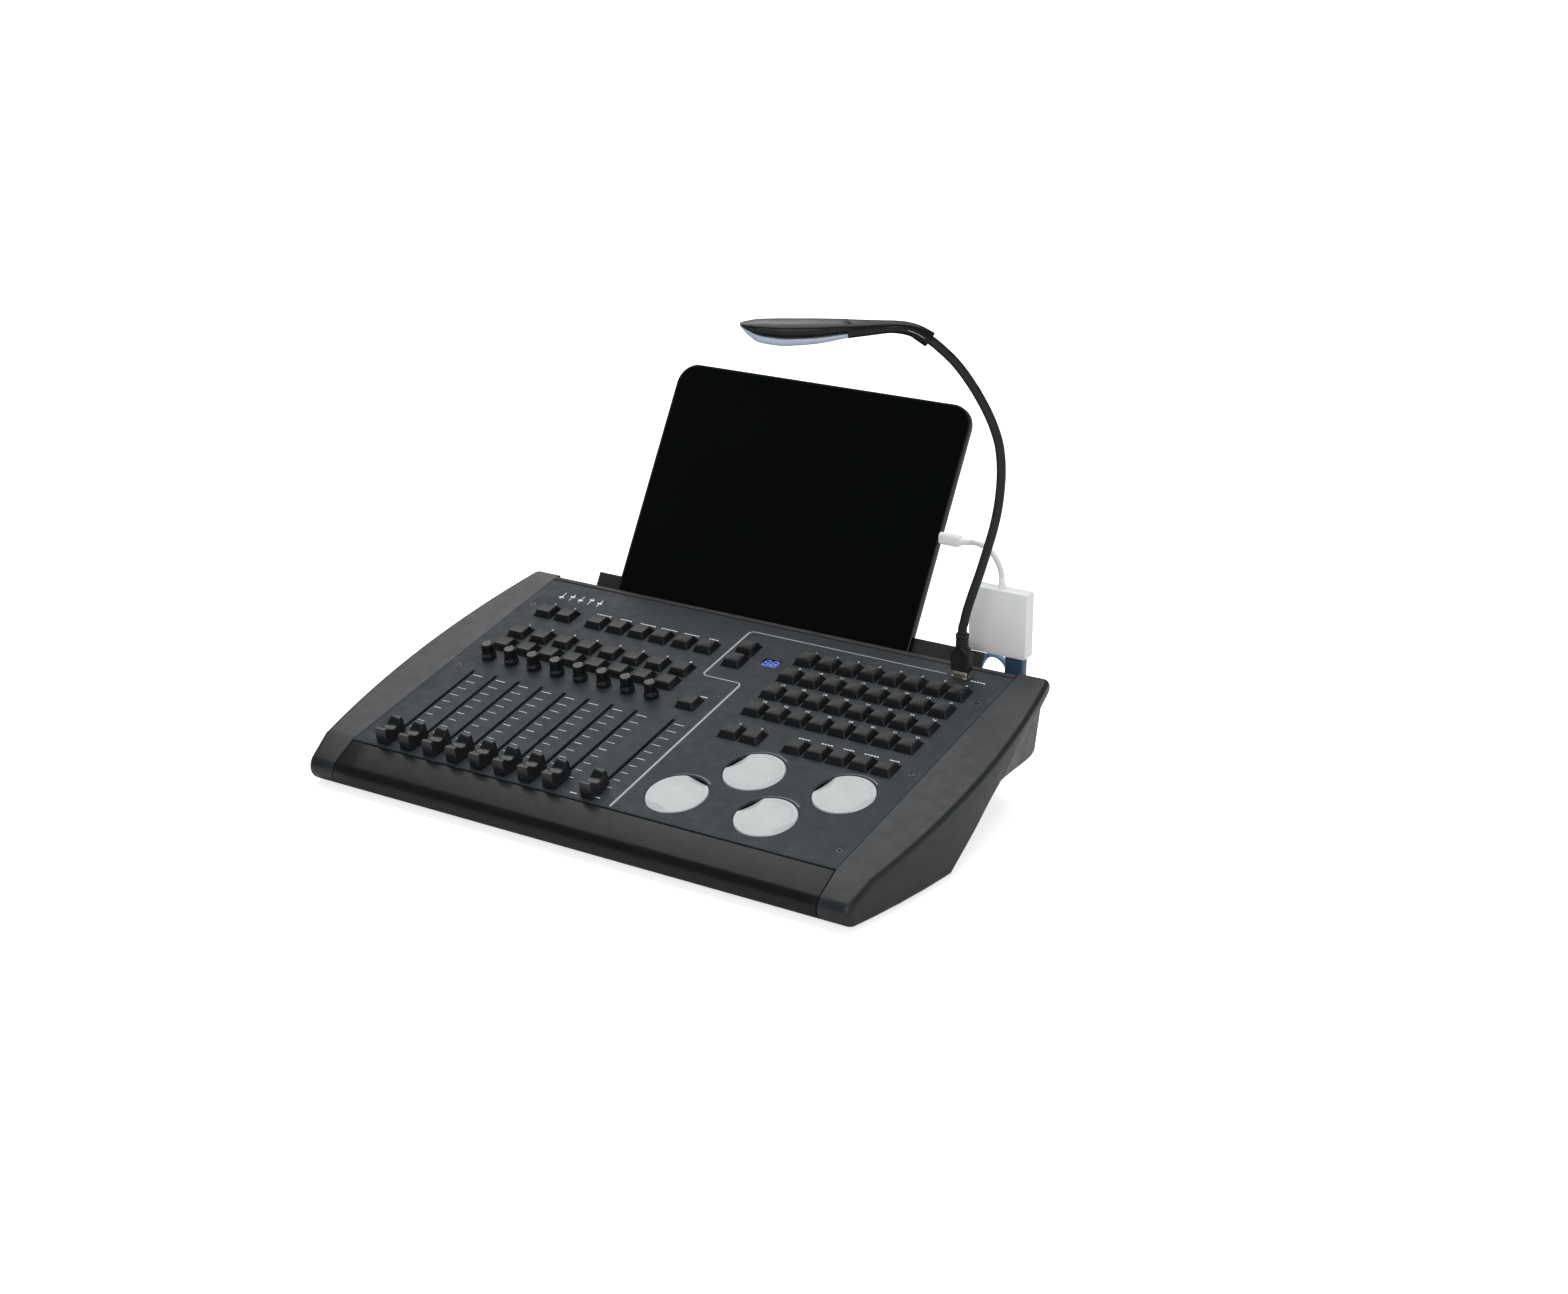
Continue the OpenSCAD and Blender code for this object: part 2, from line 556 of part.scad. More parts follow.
module lamp_neck_lower() color("#1a1b1d") neck(lower_path, pivots[0], pivots[1]);
module lamp_neck_upper() color("#1a1b1d") neck(upper_path, pivots[1], pivots[2]);
head_top = 275.6;
head_lip = [[167.3, 272.6], [151, 266.9], [130, 265.3], [109, 266.2], [89, 268.4]];
module head_plan() translate([0, 0, 200]) linear_extrude(100)
    polygon([[20, -5.4], [44, -5.6], [62, -7], [86, -11.5], [112, -15.4], [138, -16], [156, -12.6],
        [165, -6.4], [168, 0], [165, 6.4], [156, 12.6], [138, 16], [112, 15.4], [86, 11.5], [62, 7],
        [44, 5.6], [20, 5.4]]);
module upright_slab(half, pts) rotate([90, 0, 0]) linear_extrude(2 * half, center = true) polygon(pts);
module lamp_head() color("#18191b") lamp_frame() difference() {
    intersection() {
        head_plan();
        upright_slab(20, concat([[25.6, 266.6], [35, 271.6], [45, 274.6], [57, head_top],
            [153, head_top], [167.3, 273.8]], head_lip,
            [[89, 263.7], [73, 265.2], [57, 266.6], [45, 264.6], [39, 261], [32.8, 256.6]]));
    }
    translate(upright(pivots[2])) sphere(r = cup_r);
}
module lamp_lens() color("#c3cedb") lamp_frame() intersection() {
    head_plan();
    upright_slab(20, concat([for (i = [4:-1:0]) head_lip[i] - [0, 0.05]],
        [[162, 266], [153.5, 260.5], [142, 258.6], [131, 258.2], [110, 259.9], [89, 263.7]]));
}

// ---- display adapter behind the desk, and its leads ----
box_x = [163, 213];
box_y = [286, 298];
box_z = [97, 150];
plug_x = 202;
lead_y = (box_y[0] + box_y[1]) / 2;
usb_tail = 59;
side_x = tablet_x + tablet_w / 2;
white_route = [[142.1, 309, 175], [149, 309, 175.8], [155, 308.6, 176.2], [161, 307.6, 175.8],
    [167, 306, 174.4], [172.6, 303.8, 172], [177.6, 301.2, 168.6], [181.8, 298.4, 164.8], [185, 295.6, 161]];
white_end = [[187, 293.2, 157.2], [188, 292, 153.1]];
blue_route = [[150, 292, 45], [150, 299, 45], [150.4, 307, 46.6], [151.6, 313.4, 52],
    [154, 315.6, 60], [157.4, 315, 69], [161.4, 313.4, 78], [166.6, 312, 84.6], [173, 312, 86.4],
    [179.4, 313.4, 83], [184, 315.6, 75], [186.6, 317.8, 65], [188, 319.4, 54], [189, 319.8, 43],
    [190, 318.2, 32], [192, 314, 22.6], [195, 307, 17], [198.4, 299.6, 18.6], [200.8, 294.4, 26],
    [201.8, 292.2, 36], [202, 292, 47], [202, 292, usb_tail]];
module adapter_box() color("#e9eaec") desk() {
    box([box_x[0], box_y[0], box_z[0]], [box_x[1], box_y[1], box_z[1]]);
    translate([188, lead_y, box_z[1] - 1]) cylinder(h = 4, r = 3.1);
}
module adapter_plug() color("#eeeeef") desk() translate([side_x, 309, 175])
    box([0.1, -3.2, -5], [19, 3.2, 5]);
module adapter_lead() color("#e6e6e8") desk() tube(concat(white_route, white_end), 2.1, [0.3, 1, 0.3]);
module usb_lead() color("#5f8fb5") desk() tube(blue_route, 2.25, [1, 0.2, 0.1], 8);
module usb_plugs() color("#274a6b") desk() {
    translate([plug_x, lead_y, 0]) box([-8.3, -4.2, usb_tail], [8.3, 4.2, box_z[0]]);
    translate([usb_x, 0, socket_z]) {
        box([-5.6, tray_rear + 1, -5.2], [5.6, 292, 5.2]);
        box([-4.2, tray_rear - 8, -3.9], [4.2, tray_rear + 2, 3.9]);
    }
}

base_tray();
top_panel();
front_rail();
left_cheek();
right_cheek();
rubber_feet();
case_screws();
tablet_dock();
dock_pad();
circuit_boards();
fader_tracks();
encoder_bodies();
key_switches();
rear_sockets();
display_window();
power_switch();
fader_1();
fader_2();
fader_3();
fader_4();
fader_5();
fader_6();
fader_7();
fader_8();
fader_master();
knob_1();
knob_2();
knob_3();
knob_4();
knob_5();
knob_6();
knob_7();
knob_8();
wheel_1();
wheel_2();
wheel_3();
wheel_4();
keys_menu_row();
keys_flash_upper();
keys_flash_lower();
key_control();
keys_display();
keys_cue_row_1();
keys_cue_row_2();
keys_cue_row_3();
keys_cue_row_4();
keys_command_row();
tablet_shell();
tablet_glass();
lamp_plug();
lamp_neck_lower();
lamp_neck_upper();
lamp_head();
lamp_lens();
adapter_box();
adapter_lead();
adapter_plug();
usb_lead();
usb_plugs();
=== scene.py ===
"""Looks of the lighting control desk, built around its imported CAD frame.

Lengths are millimetres in the parts' own frames and become metres when a piece is made.
The panel frame has u across the panel, v up its slope from the front edge and h above it.
"""

import json
import math

import bmesh
import bpy
from mathutils import Matrix, Vector


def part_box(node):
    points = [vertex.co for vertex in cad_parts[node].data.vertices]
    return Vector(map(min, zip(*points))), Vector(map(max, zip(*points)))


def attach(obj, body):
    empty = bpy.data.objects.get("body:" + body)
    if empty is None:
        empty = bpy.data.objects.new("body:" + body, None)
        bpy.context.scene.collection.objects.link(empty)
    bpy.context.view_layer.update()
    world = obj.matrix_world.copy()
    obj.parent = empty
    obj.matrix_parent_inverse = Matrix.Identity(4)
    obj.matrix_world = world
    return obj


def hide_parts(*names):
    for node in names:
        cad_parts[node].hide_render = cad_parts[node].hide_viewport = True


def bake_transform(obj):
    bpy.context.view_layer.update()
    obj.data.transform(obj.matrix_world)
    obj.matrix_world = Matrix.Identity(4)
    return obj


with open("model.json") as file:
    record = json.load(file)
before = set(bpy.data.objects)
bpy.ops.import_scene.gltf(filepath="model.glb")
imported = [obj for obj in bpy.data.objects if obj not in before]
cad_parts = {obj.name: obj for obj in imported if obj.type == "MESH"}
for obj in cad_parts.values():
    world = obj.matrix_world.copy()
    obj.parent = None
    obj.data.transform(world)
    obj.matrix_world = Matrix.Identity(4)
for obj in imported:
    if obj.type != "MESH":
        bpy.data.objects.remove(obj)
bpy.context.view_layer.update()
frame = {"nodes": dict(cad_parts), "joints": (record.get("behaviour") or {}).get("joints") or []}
MM = 0.001
SCALE = Matrix.Scale(MM, 4)

# ---- places, from the frame ----
JOINTS = {j["name"]: j for j in frame["joints"]}
SLOPE = Vector(JOINTS["fader_1_slide"]["axis"]).normalized()
TILT = math.atan2(SLOPE.z, SLOPE.y)
PANEL_T = 2.0
PANEL_W = 440.0
panel_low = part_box("top_panel")[0]
PANEL_ORIGIN = Vector((0, panel_low.y, panel_low.z + PANEL_T * MM * math.cos(TILT)))
ON_PANEL = Matrix.Translation(PANEL_ORIGIN) @ Matrix.Rotation(TILT, 4, "X") @ SCALE
# the desk frame is the CAD source's own: y = 0 at the panel's front edge, z = 0 at the table
DESK = Matrix.Translation((0, panel_low.y, 0)) @ SCALE
FRONT_Z = PANEL_ORIGIN.z / MM
LEAN = math.radians(29.6)
DOCK_V = 269.4
DOCK_DEPTH = 15.6
IN_DOCK = DESK @ Matrix.Translation((
    0,
    DOCK_V * math.cos(TILT) - DOCK_DEPTH * math.sin(LEAN),
    FRONT_Z + DOCK_V * math.sin(TILT) - DOCK_DEPTH * math.cos(LEAN),
)) @ Matrix.Rotation(-LEAN, 4, "X")
TABLET = (280.6, 214.9, 6)
TABLET_X = -17.3
LAMP_AT = Vector((180.5, 244.4, 91.1))
LAMP_HEADING = math.radians(212.9)
AT_LAMP = DESK @ Matrix.Translation(LAMP_AT)
IN_LAMP = AT_LAMP @ Matrix.Rotation(LAMP_HEADING, 4, "Z")


def top_z(y):
    """Height of the panel's upper face at y, in the desk frame."""
    return FRONT_Z + y * math.tan(TILT)


# ---- camera: the photograph's viewing angle ----
camera = bpy.data.objects.new("camera", bpy.data.cameras.new("camera"))
bpy.context.collection.objects.link(camera)
camera.data.sensor_width = 36
camera.data.lens = 58.44
camera.data.clip_end = 20
camera.location = (1.0539, -1.5263, 0.7715)
LOOK_AT = Vector((-0.06855, 0.2102, 0.0247))
camera.rotation_mode = "QUATERNION"
camera.rotation_quaternion = (LOOK_AT - camera.location).to_track_quat("-Z", "Y")
bpy.context.scene.camera = camera


# ---- materials ----
def finish(name, base, rough, metallic=0.0, mottle=0.12, mottle_size=40, rough_spread=0.07,
           grain=0.0, grain_size=0.6, stretch=(1, 1, 1), wear_and_edge_highlight=0.0, specular=0.5, dust=0.0,
           see_through=0.0, glow=0.0):
    """A Principled material: uneven colour and sheen, surface grain, lightened edges that are partly worn
    and partly a painted highlight, and dust.

    Sizes and the grain's depth are millimetres.
    """
    mat = bpy.data.materials.new(name)
    mat.use_nodes = True
    nodes, link = mat.node_tree.nodes, mat.node_tree.links.new
    shader = nodes["Principled BSDF"]
    shader.inputs["Metallic"].default_value = metallic
    shader.inputs["Specular IOR Level"].default_value = specular
    if see_through:
        shader.inputs["Subsurface Weight"].default_value = see_through
        shader.inputs["Subsurface Radius"].default_value = (0.004, 0.004, 0.004)
        shader.inputs["Subsurface Scale"].default_value = 1.0
    if glow:
        shader.inputs["Emission Color"].default_value = (*base, 1)
        shader.inputs["Emission Strength"].default_value = glow
    place = nodes.new("ShaderNodeTexCoord").outputs["Object"]
    if stretch != (1, 1, 1):
        mapping = nodes.new("ShaderNodeMapping")
        mapping.inputs["Scale"].default_value = stretch
        link(place, mapping.inputs["Vector"])
        place = mapping.outputs["Vector"]

    def noise(size, detail=3.0):
        node = nodes.new("ShaderNodeTexNoise")
        node.inputs["Scale"].default_value = 1 / (size * MM)
        node.inputs["Detail"].default_value = detail
        link(place, node.inputs["Vector"])
        return node.outputs["Fac"]

    def spread(value, low, high, start=0.3, end=0.7):
        node = nodes.new("ShaderNodeMapRange")
        for key, number in (("From Min", start), ("From Max", end), ("To Min", low), ("To Max", high)):
            node.inputs[key].default_value = number
        link(value, node.inputs["Value"])
        return node.outputs["Result"]

    def blend(share, a, b):
        node = nodes.new("ShaderNodeMix")
        node.data_type = "RGBA"
        link(share, node.inputs["Factor"])
        for key, colour in ((6, a), (7, b)):
            if isinstance(colour, bpy.types.NodeSocket):
                link(colour, node.inputs[key])
            else:
                node.inputs[key].default_value = (*colour, 1)
        return node.outputs[2]

    darker = [c * (1 - mottle) for c in base]
    lighter = [min(1, c * (1 + mottle)) for c in base]
    colour = blend(spread(noise(mottle_size), 0, 1), darker, lighter)
    sheen = spread(noise(mottle_size / 4), rough - rough_spread, rough + rough_spread)
    if dust:
        specks = spread(noise(1.3, 1.0), 0, dust, 0.68, 0.8)
        colour = blend(specks, colour, (0.35, 0.35, 0.36))
    # edges found by pointiness are painted lighter: partly worn edges, partly a painted highlight along them
    if wear_and_edge_highlight:
        edge = nodes.new("ShaderNodeNewGeometry").outputs["Pointiness"]
        worn_and_lit_edges = spread(edge, 0, wear_and_edge_highlight, 0.52, 0.62)
        colour = blend(worn_and_lit_edges, colour, [min(1, c * 2.5 + 0.02) for c in base])
    link(colour, shader.inputs["Base Color"])
    link(sheen, shader.inputs["Roughness"])
    if grain:
        bump = nodes.new("ShaderNodeBump")
        bump.inputs["Strength"].default_value = 1.0
        bump.inputs["Distance"].default_value = grain * MM
        link(noise(grain_size, 2.0), bump.inputs["Height"])
        link(bump.outputs["Normal"], shader.inputs["Normal"])
    return mat


COAT = finish("panel_coat", (0.034, 0.0385, 0.043), 0.62, mottle=0.06, grain=0.02, grain_size=0.7,
              specular=0.25, dust=0.2)
CASE = finish("case_black", (0.017, 0.0193, 0.0212), 0.37, mottle=0.06, grain=0.018, grain_size=0.8,
              specular=0.3, wear_and_edge_highlight=0.3, dust=0.12)
RAIL = finish("rail_black", (0.0055, 0.0064, 0.0072), 0.3, mottle=0.05, mottle_size=30, rough_spread=0.04,
              grain=0.015, grain_size=0.8, specular=0.22, wear_and_edge_highlight=0.2)
TRAY = finish("tray_powder_coat", (0.014, 0.015, 0.016), 0.6, grain=0.05, grain_size=0.9, specular=0.35)
RUBBER = finish("foot_rubber", (0.01, 0.01, 0.01), 0.8, grain=0.03, dust=0.3, specular=0.3)
SCREW = finish("blackened_screw", (0.04, 0.042, 0.045), 0.3, metallic=0.75, grain=0.01, wear_and_edge_highlight=0.5)
BOARD = finish("board_green", (0.02, 0.13, 0.055), 0.35, mottle=0.2, mottle_size=6, grain=0.03,
               grain_size=1.5)
STEEL = finish("plated_steel", (0.5, 0.51, 0.52), 0.32, metallic=1.0, stretch=(1, 12, 12), grain=0.01)
NICKEL = finish("nickel", (0.55, 0.54, 0.52), 0.25, metallic=1.0, grain=0.005)
SMOKED = finish("smoked_window", (0.006, 0.007, 0.01), 0.12, mottle=0.1, rough_spread=0.03, specular=0.3)
SWITCH = finish("switch_black", (0.01, 0.01, 0.011), 0.3, grain=0.01, wear_and_edge_highlight=0.4)
DOCK = finish("dock_black", (0.015, 0.0145, 0.015), 0.5, mottle=0.15, grain=0.03, grain_size=0.9,
              specular=0.3, wear_and_edge_highlight=0.4)
CAP = finish("cap_black", (0.0075, 0.0085, 0.0095), 0.22, mottle=0.1, mottle_size=8, rough_spread=0.04,
             grain=0.008, grain_size=0.5, specular=0.35, wear_and_edge_highlight=0.5)
KNOB = finish("knob_black", (0.007, 0.008, 0.009), 0.24, mottle=0.1, mottle_size=6, rough_spread=0.04,
              grain=0.006, grain_size=0.4, specular=0.42, wear_and_edge_highlight=0.4)
# the keys' strong edge lightening is a painted highlight along their corners
KEY = finish("key_black", (0.0072, 0.0082, 0.0092), 0.3, mottle=0.1, mottle_size=9, rough_spread=0.05,
             grain=0.008, grain_size=0.4, specular=0.2, wear_and_edge_highlight=0.9)
WHEEL = finish("wheel_white", (0.6, 0.615, 0.615), 0.48, mottle=0.04, mottle_size=14, grain=0.015,
               grain_size=0.8, specular=0.3, see_through=0.25)
TABLET_METAL = finish("tablet_metal", (0.035, 0.037, 0.04), 0.34, metallic=0.9, mottle=0.05, grain=0.008,
                      grain_size=0.3)
GLASS = finish("tablet_glass", (0.0006, 0.0012, 0.0014), 0.06, mottle=0.2, mottle_size=60, rough_spread=0.02,
               specular=0.14)
LENS_GLASS = finish("camera_glass", (0.004, 0.005, 0.008), 0.06, rough_spread=0.02)
LAMP = finish("lamp_black", (0.0065, 0.0072, 0.008), 0.25, mottle=0.1, rough_spread=0.04, grain=0.006,
              specular=0.24)
PLUG_BLACK = finish("plug_black", (0.009, 0.0095, 0.01), 0.42, grain=0.02, grain_size=0.5, specular=0.35,
                    wear_and_edge_highlight=0.3)
GOLD = finish("gold_shell", (0.42, 0.38, 0.3), 0.3, metallic=1.0, grain=0.005)
SLEEVE = finish("neck_sleeve", (0.013, 0.014, 0.0155), 0.52, mottle=0.12, grain=0.02, grain_size=0.5,
                specular=0.3)
LENS = finish("lamp_lens", (0.44, 0.51, 0.6), 0.3, mottle=0.02, mottle_size=15, grain=0.02, grain_size=1.2,
              see_through=0.3)
WHITE = finish("adapter_white", (0.94, 0.945, 0.95), 0.36, mottle=0.03, grain=0.01, grain_size=0.5,
               see_through=0.1)
WHITE_LEAD = finish("white_jacket", (0.78, 0.785, 0.8), 0.45, mottle=0.04, mottle_size=8, grain=0.015)
BLUE_PLUG = finish("plug_blue", (0.038, 0.082, 0.145), 0.35, mottle=0.15, grain=0.02, grain_size=0.6)
BLUE_LEAD = finish("blue_jacket", (0.2, 0.38, 0.56), 0.42, mottle=0.08, mottle_size=8, grain=0.015)
PORT = finish("port_dark", (0.02, 0.02, 0.022), 0.5, grain=0.01)
PRINT = finish("print_white", (0.88, 0.89, 0.91), 0.5, mottle=0.1, mottle_size=3, grain=0.01, specular=0.25)
PRINT_LINE = finish("print_lilac_grey", (0.42, 0.425, 0.48), 0.5, mottle=0.06, mottle_size=6, grain=0.01,
                    specular=0.25)
PRINT_ARC = finish("print_grey", (0.14, 0.16, 0.17), 0.5, mottle=0.1, mottle_size=5, grain=0.01,
                   specular=0.25)
DIGIT = finish("digit_blue", (0.05, 0.16, 0.9), 0.4, mottle=0.1, mottle_size=2, glow=0.8)


# ---- making pieces ----
class Shape:
    """Vertices and faces gathered from simple forms, in millimetres."""

    def __init__(self):
        self.verts, self.faces = [], []

    def add(self, verts, faces):
        start = len(self.verts)
        self.verts += [tuple(v) for v in verts]
        self.faces += [[start + i for i in f] for f in faces]

    def box(self, low, high):
        (x0, y0, z0), (x1, y1, z1) = low, high
        self.add([(x, y, z) for z in (z0, z1) for x, y in ((x0, y0), (x1, y0), (x1, y1), (x0, y1))],
                 [[3, 2, 1, 0], [4, 5, 6, 7], *[[i, (i + 1) % 4, 4 + (i + 1) % 4, 4 + i] for i in range(4)]])

    def loft(self, rings, caps=(True, True)):
        n = len(rings[0])
        faces = [[r * n + i, r * n + (i + 1) % n, (r + 1) * n + (i + 1) % n, (r + 1) * n + i]
                 for r in range(len(rings) - 1) for i in range(n)]
        faces += [list(range(n))[::-1]] * caps[0]
        faces += [[(len(rings) - 1) * n + i for i in range(n)]] * caps[1]
        self.add([p for ring in rings for p in ring], faces)

    def lathe(self, profile, centre=(0, 0), steps=48):
        """profile: [radius, height] from the outside in, or from below up."""
        turns = [2 * math.pi * k / steps for k in range(steps)]
        self.loft([[(centre[0] + r * math.cos(a), centre[1] + r * math.sin(a), z) for a in turns]
                   for r, z in profile])

    def prism(self, outline, low, high):
        """outline: [x, y] points, made solid from height low to high."""
        self.loft([[(x, y, z) for x, y in outline] for z in (low, high)])


def piece(name, shape, place, material, body, replaces=(), angle=35, rounding=0.0, steps=2):
    """Makes a mesh object from a Shape, optionally with its sharp edges rounded, riding on a body."""
    mesh = bpy.data.meshes.new(name)
    mesh.from_pydata([place @ Vector(v) for v in shape.verts], [], shape.faces)
    work = bmesh.new()
    work.from_mesh(mesh)
    bmesh.ops.remove_doubles(work, verts=work.verts, dist=1e-6)
    bmesh.ops.recalc_face_normals(work, faces=work.faces)
    if rounding:
        round_edges(work, rounding * MM, steps, angle)
    return settle(work, mesh, name, material, body, replaces, angle)


def round_edges(work, width, steps, angle):
    """Bevels the edges of a bmesh where two faces meet at more than angle."""
    sharp = [e for e in work.edges if len(e.link_faces) == 2 and e.calc_face_angle(0) > math.radians(angle)]
    bmesh.ops.bevel(work, geom=sharp, offset=width, segments=steps, profile=0.5, affect="EDGES",
                    clamp_overlap=True)


def settle(work, mesh, name, material, body, replaces=(), angle=35):
    work.to_mesh(mesh)
    work.free()
    mesh.shade_smooth()
    mesh.set_sharp_from_angle(angle=math.radians(angle))
    mesh.materials.append(material)
    obj = bpy.data.objects.new(name, mesh)
    bpy.context.collection.objects.link(obj)
    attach(obj, body)
    if replaces:
        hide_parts(*replaces)
    return obj


def refined(node, material, body, rounding=0.3, steps=2, angle=30, name=None, other=None, where=None):
    """A CAD node's mesh copied into a new piece with its edges rounded.

    Faces whose middle satisfies where get the other material.
    """
    mesh = frame["nodes"][node].data.copy()
    mesh.materials.clear()
    work = bmesh.new()
    work.from_mesh(mesh)
    bmesh.ops.remove_doubles(work, verts=work.verts, dist=1e-6)
    bmesh.ops.dissolve_limit(work, angle_limit=math.radians(0.5), verts=work.verts, edges=work.edges)
    round_edges(work, rounding * MM, steps, angle)
    obj = settle(work, mesh, name or node + "_shell", material, body, (node,), angle)
    if other:
        mesh.materials.append(other)
        for face in mesh.polygons:
            face.material_index = 1 if where(face.center) else 0
    return obj


def paint(node, material):
    """Gives a CAD node that stays a procedural material."""
    data = frame["nodes"][node].data
    data.materials.clear()
    data.materials.append(material)


# ---- curves and outlines ----
def arc(centre, r, start, end, steps):
    """Points [x, y] on an arc, angles in degrees."""
    turns = [math.radians(start + (end - start) * k / steps) for k in range(steps + 1)]
    return [(centre[0] + r * math.cos(a), centre[1] + r * math.sin(a)) for a in turns]


def rounded(w, d, r, steps=6):
    """A rectangle's outline about the origin with round corners."""
    x, y = w / 2 - r, d / 2 - r
    corners = (((x, -y), 270), ((x, y), 0), ((-x, y), 90), ((-x, -y), 180))
    return [p for c, a in corners for p in arc(c, r, a, a + 90, steps)]


def smooth_line(points, per=6):
    """A Catmull-Rom curve through the points."""
    pts = [Vector(p) for p in points]
    ends = [pts[0] * 2 - pts[1], *pts, pts[-1] * 2 - pts[-2]]
    out = []
    for a, b, c, d in zip(ends, ends[1:], ends[2:], ends[3:]):
        for k in range(per):
            t = k / per
            out.append(0.5 * (2 * b + (c - a) * t + (2 * a - 5 * b + 4 * c - d) * t ** 2
                              + (3 * b - a - 3 * c + d) * t ** 3))
    return [*out, pts[-1]]


def at(table, x):
    """Value at x on the straight lines between (x, value) pairs."""
    if x <= table[0][0]:
        return table[0][1]
    for (x0, v0), (x1, v1) in zip(table, table[1:]):
        if x <= x1:
            return v0 + (v1 - v0) * (x - x0) / (x1 - x0)
    return table[-1][1]


def tube_rings(line, radii, sides=20):
    """Rings round a line, each of its own radius, kept from twisting."""
    rings = []
    side = Vector((0, 1, 0))
    for i, p in enumerate(line):
        along = (line[min(i + 1, len(line) - 1)] - line[max(i - 1, 0)]).normalized()
        side = (side - along * side.dot(along)).normalized()
        other = along.cross(side)
        r = radii[i] if isinstance(radii, list) else radii
        turns = [2 * math.pi * k / sides for k in range(sides)]
        rings.append([p + r * (side * math.cos(a) + other * math.sin(a)) for a in turns])
    return rings


# ---- cords, along the same routes as their CAD solids ----
BOX_PLUG_X = 202
LEAD_Y = 292
WHITE_ROUTE = [(188, 292, 153.1), (187, 293.2, 157.2), (185, 295.6, 161), (181.8, 298.4, 164.8),
               (177.6, 301.2, 168.6), (172.6, 303.8, 172), (167, 306, 174.4), (161, 307.6, 175.8),
               (155, 308.6, 176.2), (149, 309, 175.8), (142.1, 309, 175)]
BLUE_ROUTE = [(150, 292, 45), (150, 299, 45), (150.4, 307, 46.6), (151.6, 313.4, 52), (154, 315.6, 60),
              (157.4, 315, 69), (161.4, 313.4, 78), (166.6, 312, 84.6), (173, 312, 86.4),
              (179.4, 313.4, 83), (184, 315.6, 75), (186.6, 317.8, 65), (188, 319.4, 54),
              (189, 319.8, 43), (190, 318.2, 32), (192, 314, 22.6), (195, 307, 17), (198.4, 299.6, 18.6),
              (200.8, 294.4, 26), (201.8, 292.2, 36), (202, 292, 47), (202, 292, 59)]


def lead(name, route, diameter, material, node):
    """A round cord as one smooth curve through its route."""
    curve = bpy.data.curves.new(name, "CURVE")
    curve.dimensions = "3D"
    curve.bevel_depth = diameter / 2 * MM
    curve.bevel_resolution = 5
    curve.use_fill_caps = True
    points = [DESK @ p for p in smooth_line(route, 5)]
    spline = curve.splines.new("POLY")
    spline.points.add(len(points) - 1)
    for knot, p in zip(spline.points, points):
        knot.co = (*p, 1)
    spline.use_smooth = True
    curve.materials.append(material)
    obj = bpy.data.objects.new(name, curve)
    bpy.context.collection.objects.link(obj)
    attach(obj, "desk")
    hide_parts(node)
    return obj


def relief(name, line, radii, material):
    """A tapered strain relief with rings, along the end of a cord."""
    shape = Shape()
    shape.loft(tube_rings(smooth_line(line, 6), radii, 24))
    return piece(name, shape, DESK, material, "desk")


def grooved(n, start, end, groove):
    """Radii that taper from start to end, with every third ring sunk by groove."""
    return [start + (end - start) * i / (n - 1) - (groove if i % 3 == 1 else 0) for i in range(n)]


def slab(w, h, t, r, edge, steps=6):
    """Rings of a round-cornered slab lying in x and z, from y = 0 to t, its rims rounded by edge."""
    rings = []
    for y, grow in [(edge * (1 - math.cos(a)), edge * (math.sin(a) - 1)) for a in
                    (math.radians(d) for d in (0, 30, 60, 90))]:
        rings.append((y, grow))
    rings += [(t - y, grow) for y, grow in rings[::-1]]
    return [[(x, y, z) for x, z in rounded(w + 2 * g, h + 2 * g, r + g, steps)] for y, g in rings]


def moved(rings, x, y, z):
    return [[(a + x, b + y, c + z) for a, b, c in ring] for ring in rings]


white_lead = lead("white_lead", WHITE_ROUTE, 4.2, WHITE_LEAD, "adapter_lead")
blue_lead = lead("blue_lead", BLUE_ROUTE, 4.5, BLUE_LEAD, "usb_lead")

# the display adapter: a white box with a round boss, ports in its outer side and a recessed window
shape = Shape()
shape.loft(moved(slab(50, 53, 12, 2.4, 0.8), 188, 286, 123.5))
shape.lathe([(3.1, 149), (3.1, 151.8), (2.9, 152.5), (2.3, 152.9)], (188, LEAD_Y))
adapter = piece("adapter_case", shape, DESK, WHITE, "desk", ["adapter_box"])
shape = Shape()
shape.loft([[(212.6 + d, 292 + y, 128 + z) for y, z in rounded(5.4, 15, 1.2)] for d in (0, 0.38)])
shape.loft([[(212.6 + d, 292 + y, 108 + z) for y, z in rounded(3.4, 9, 1.6)] for d in (0, 0.38)])
adapter_ports = piece("adapter_ports", shape, DESK, PORT, "desk")

# the tablet's plug: a flat white shell, its lead leaving from the far end
side_x = TABLET_X + TABLET[0] / 2
shape = Shape()
shape.loft([[(side_x + 0.1 + x, 309 + y * k, 175 + z * k) for y, z in rounded(6.4, 10, 3)]
            for x, k in ((0.3, 0.9), (0.7, 0.97), (1.4, 1), (15, 1), (17.4, 0.96), (18.5, 0.85),
                         (18.9, 0.62))])
tablet_plug = piece("tablet_plug_shell", shape, DESK, WHITE, "desk", ["adapter_plug"])
plug_relief = relief("tablet_plug_relief", [(141.5, 309, 175), (146, 309, 175.3), (150.5, 308.9, 175.6)],
                     grooved(13, 3.1, 2.3, 0.25), WHITE)
box_relief = relief("adapter_lead_relief", [(188, 292, 152), (187.8, 292.1, 155), (187, 292.6, 158.2)],
                    grooved(13, 2.9, 2.25, 0.2), WHITE)

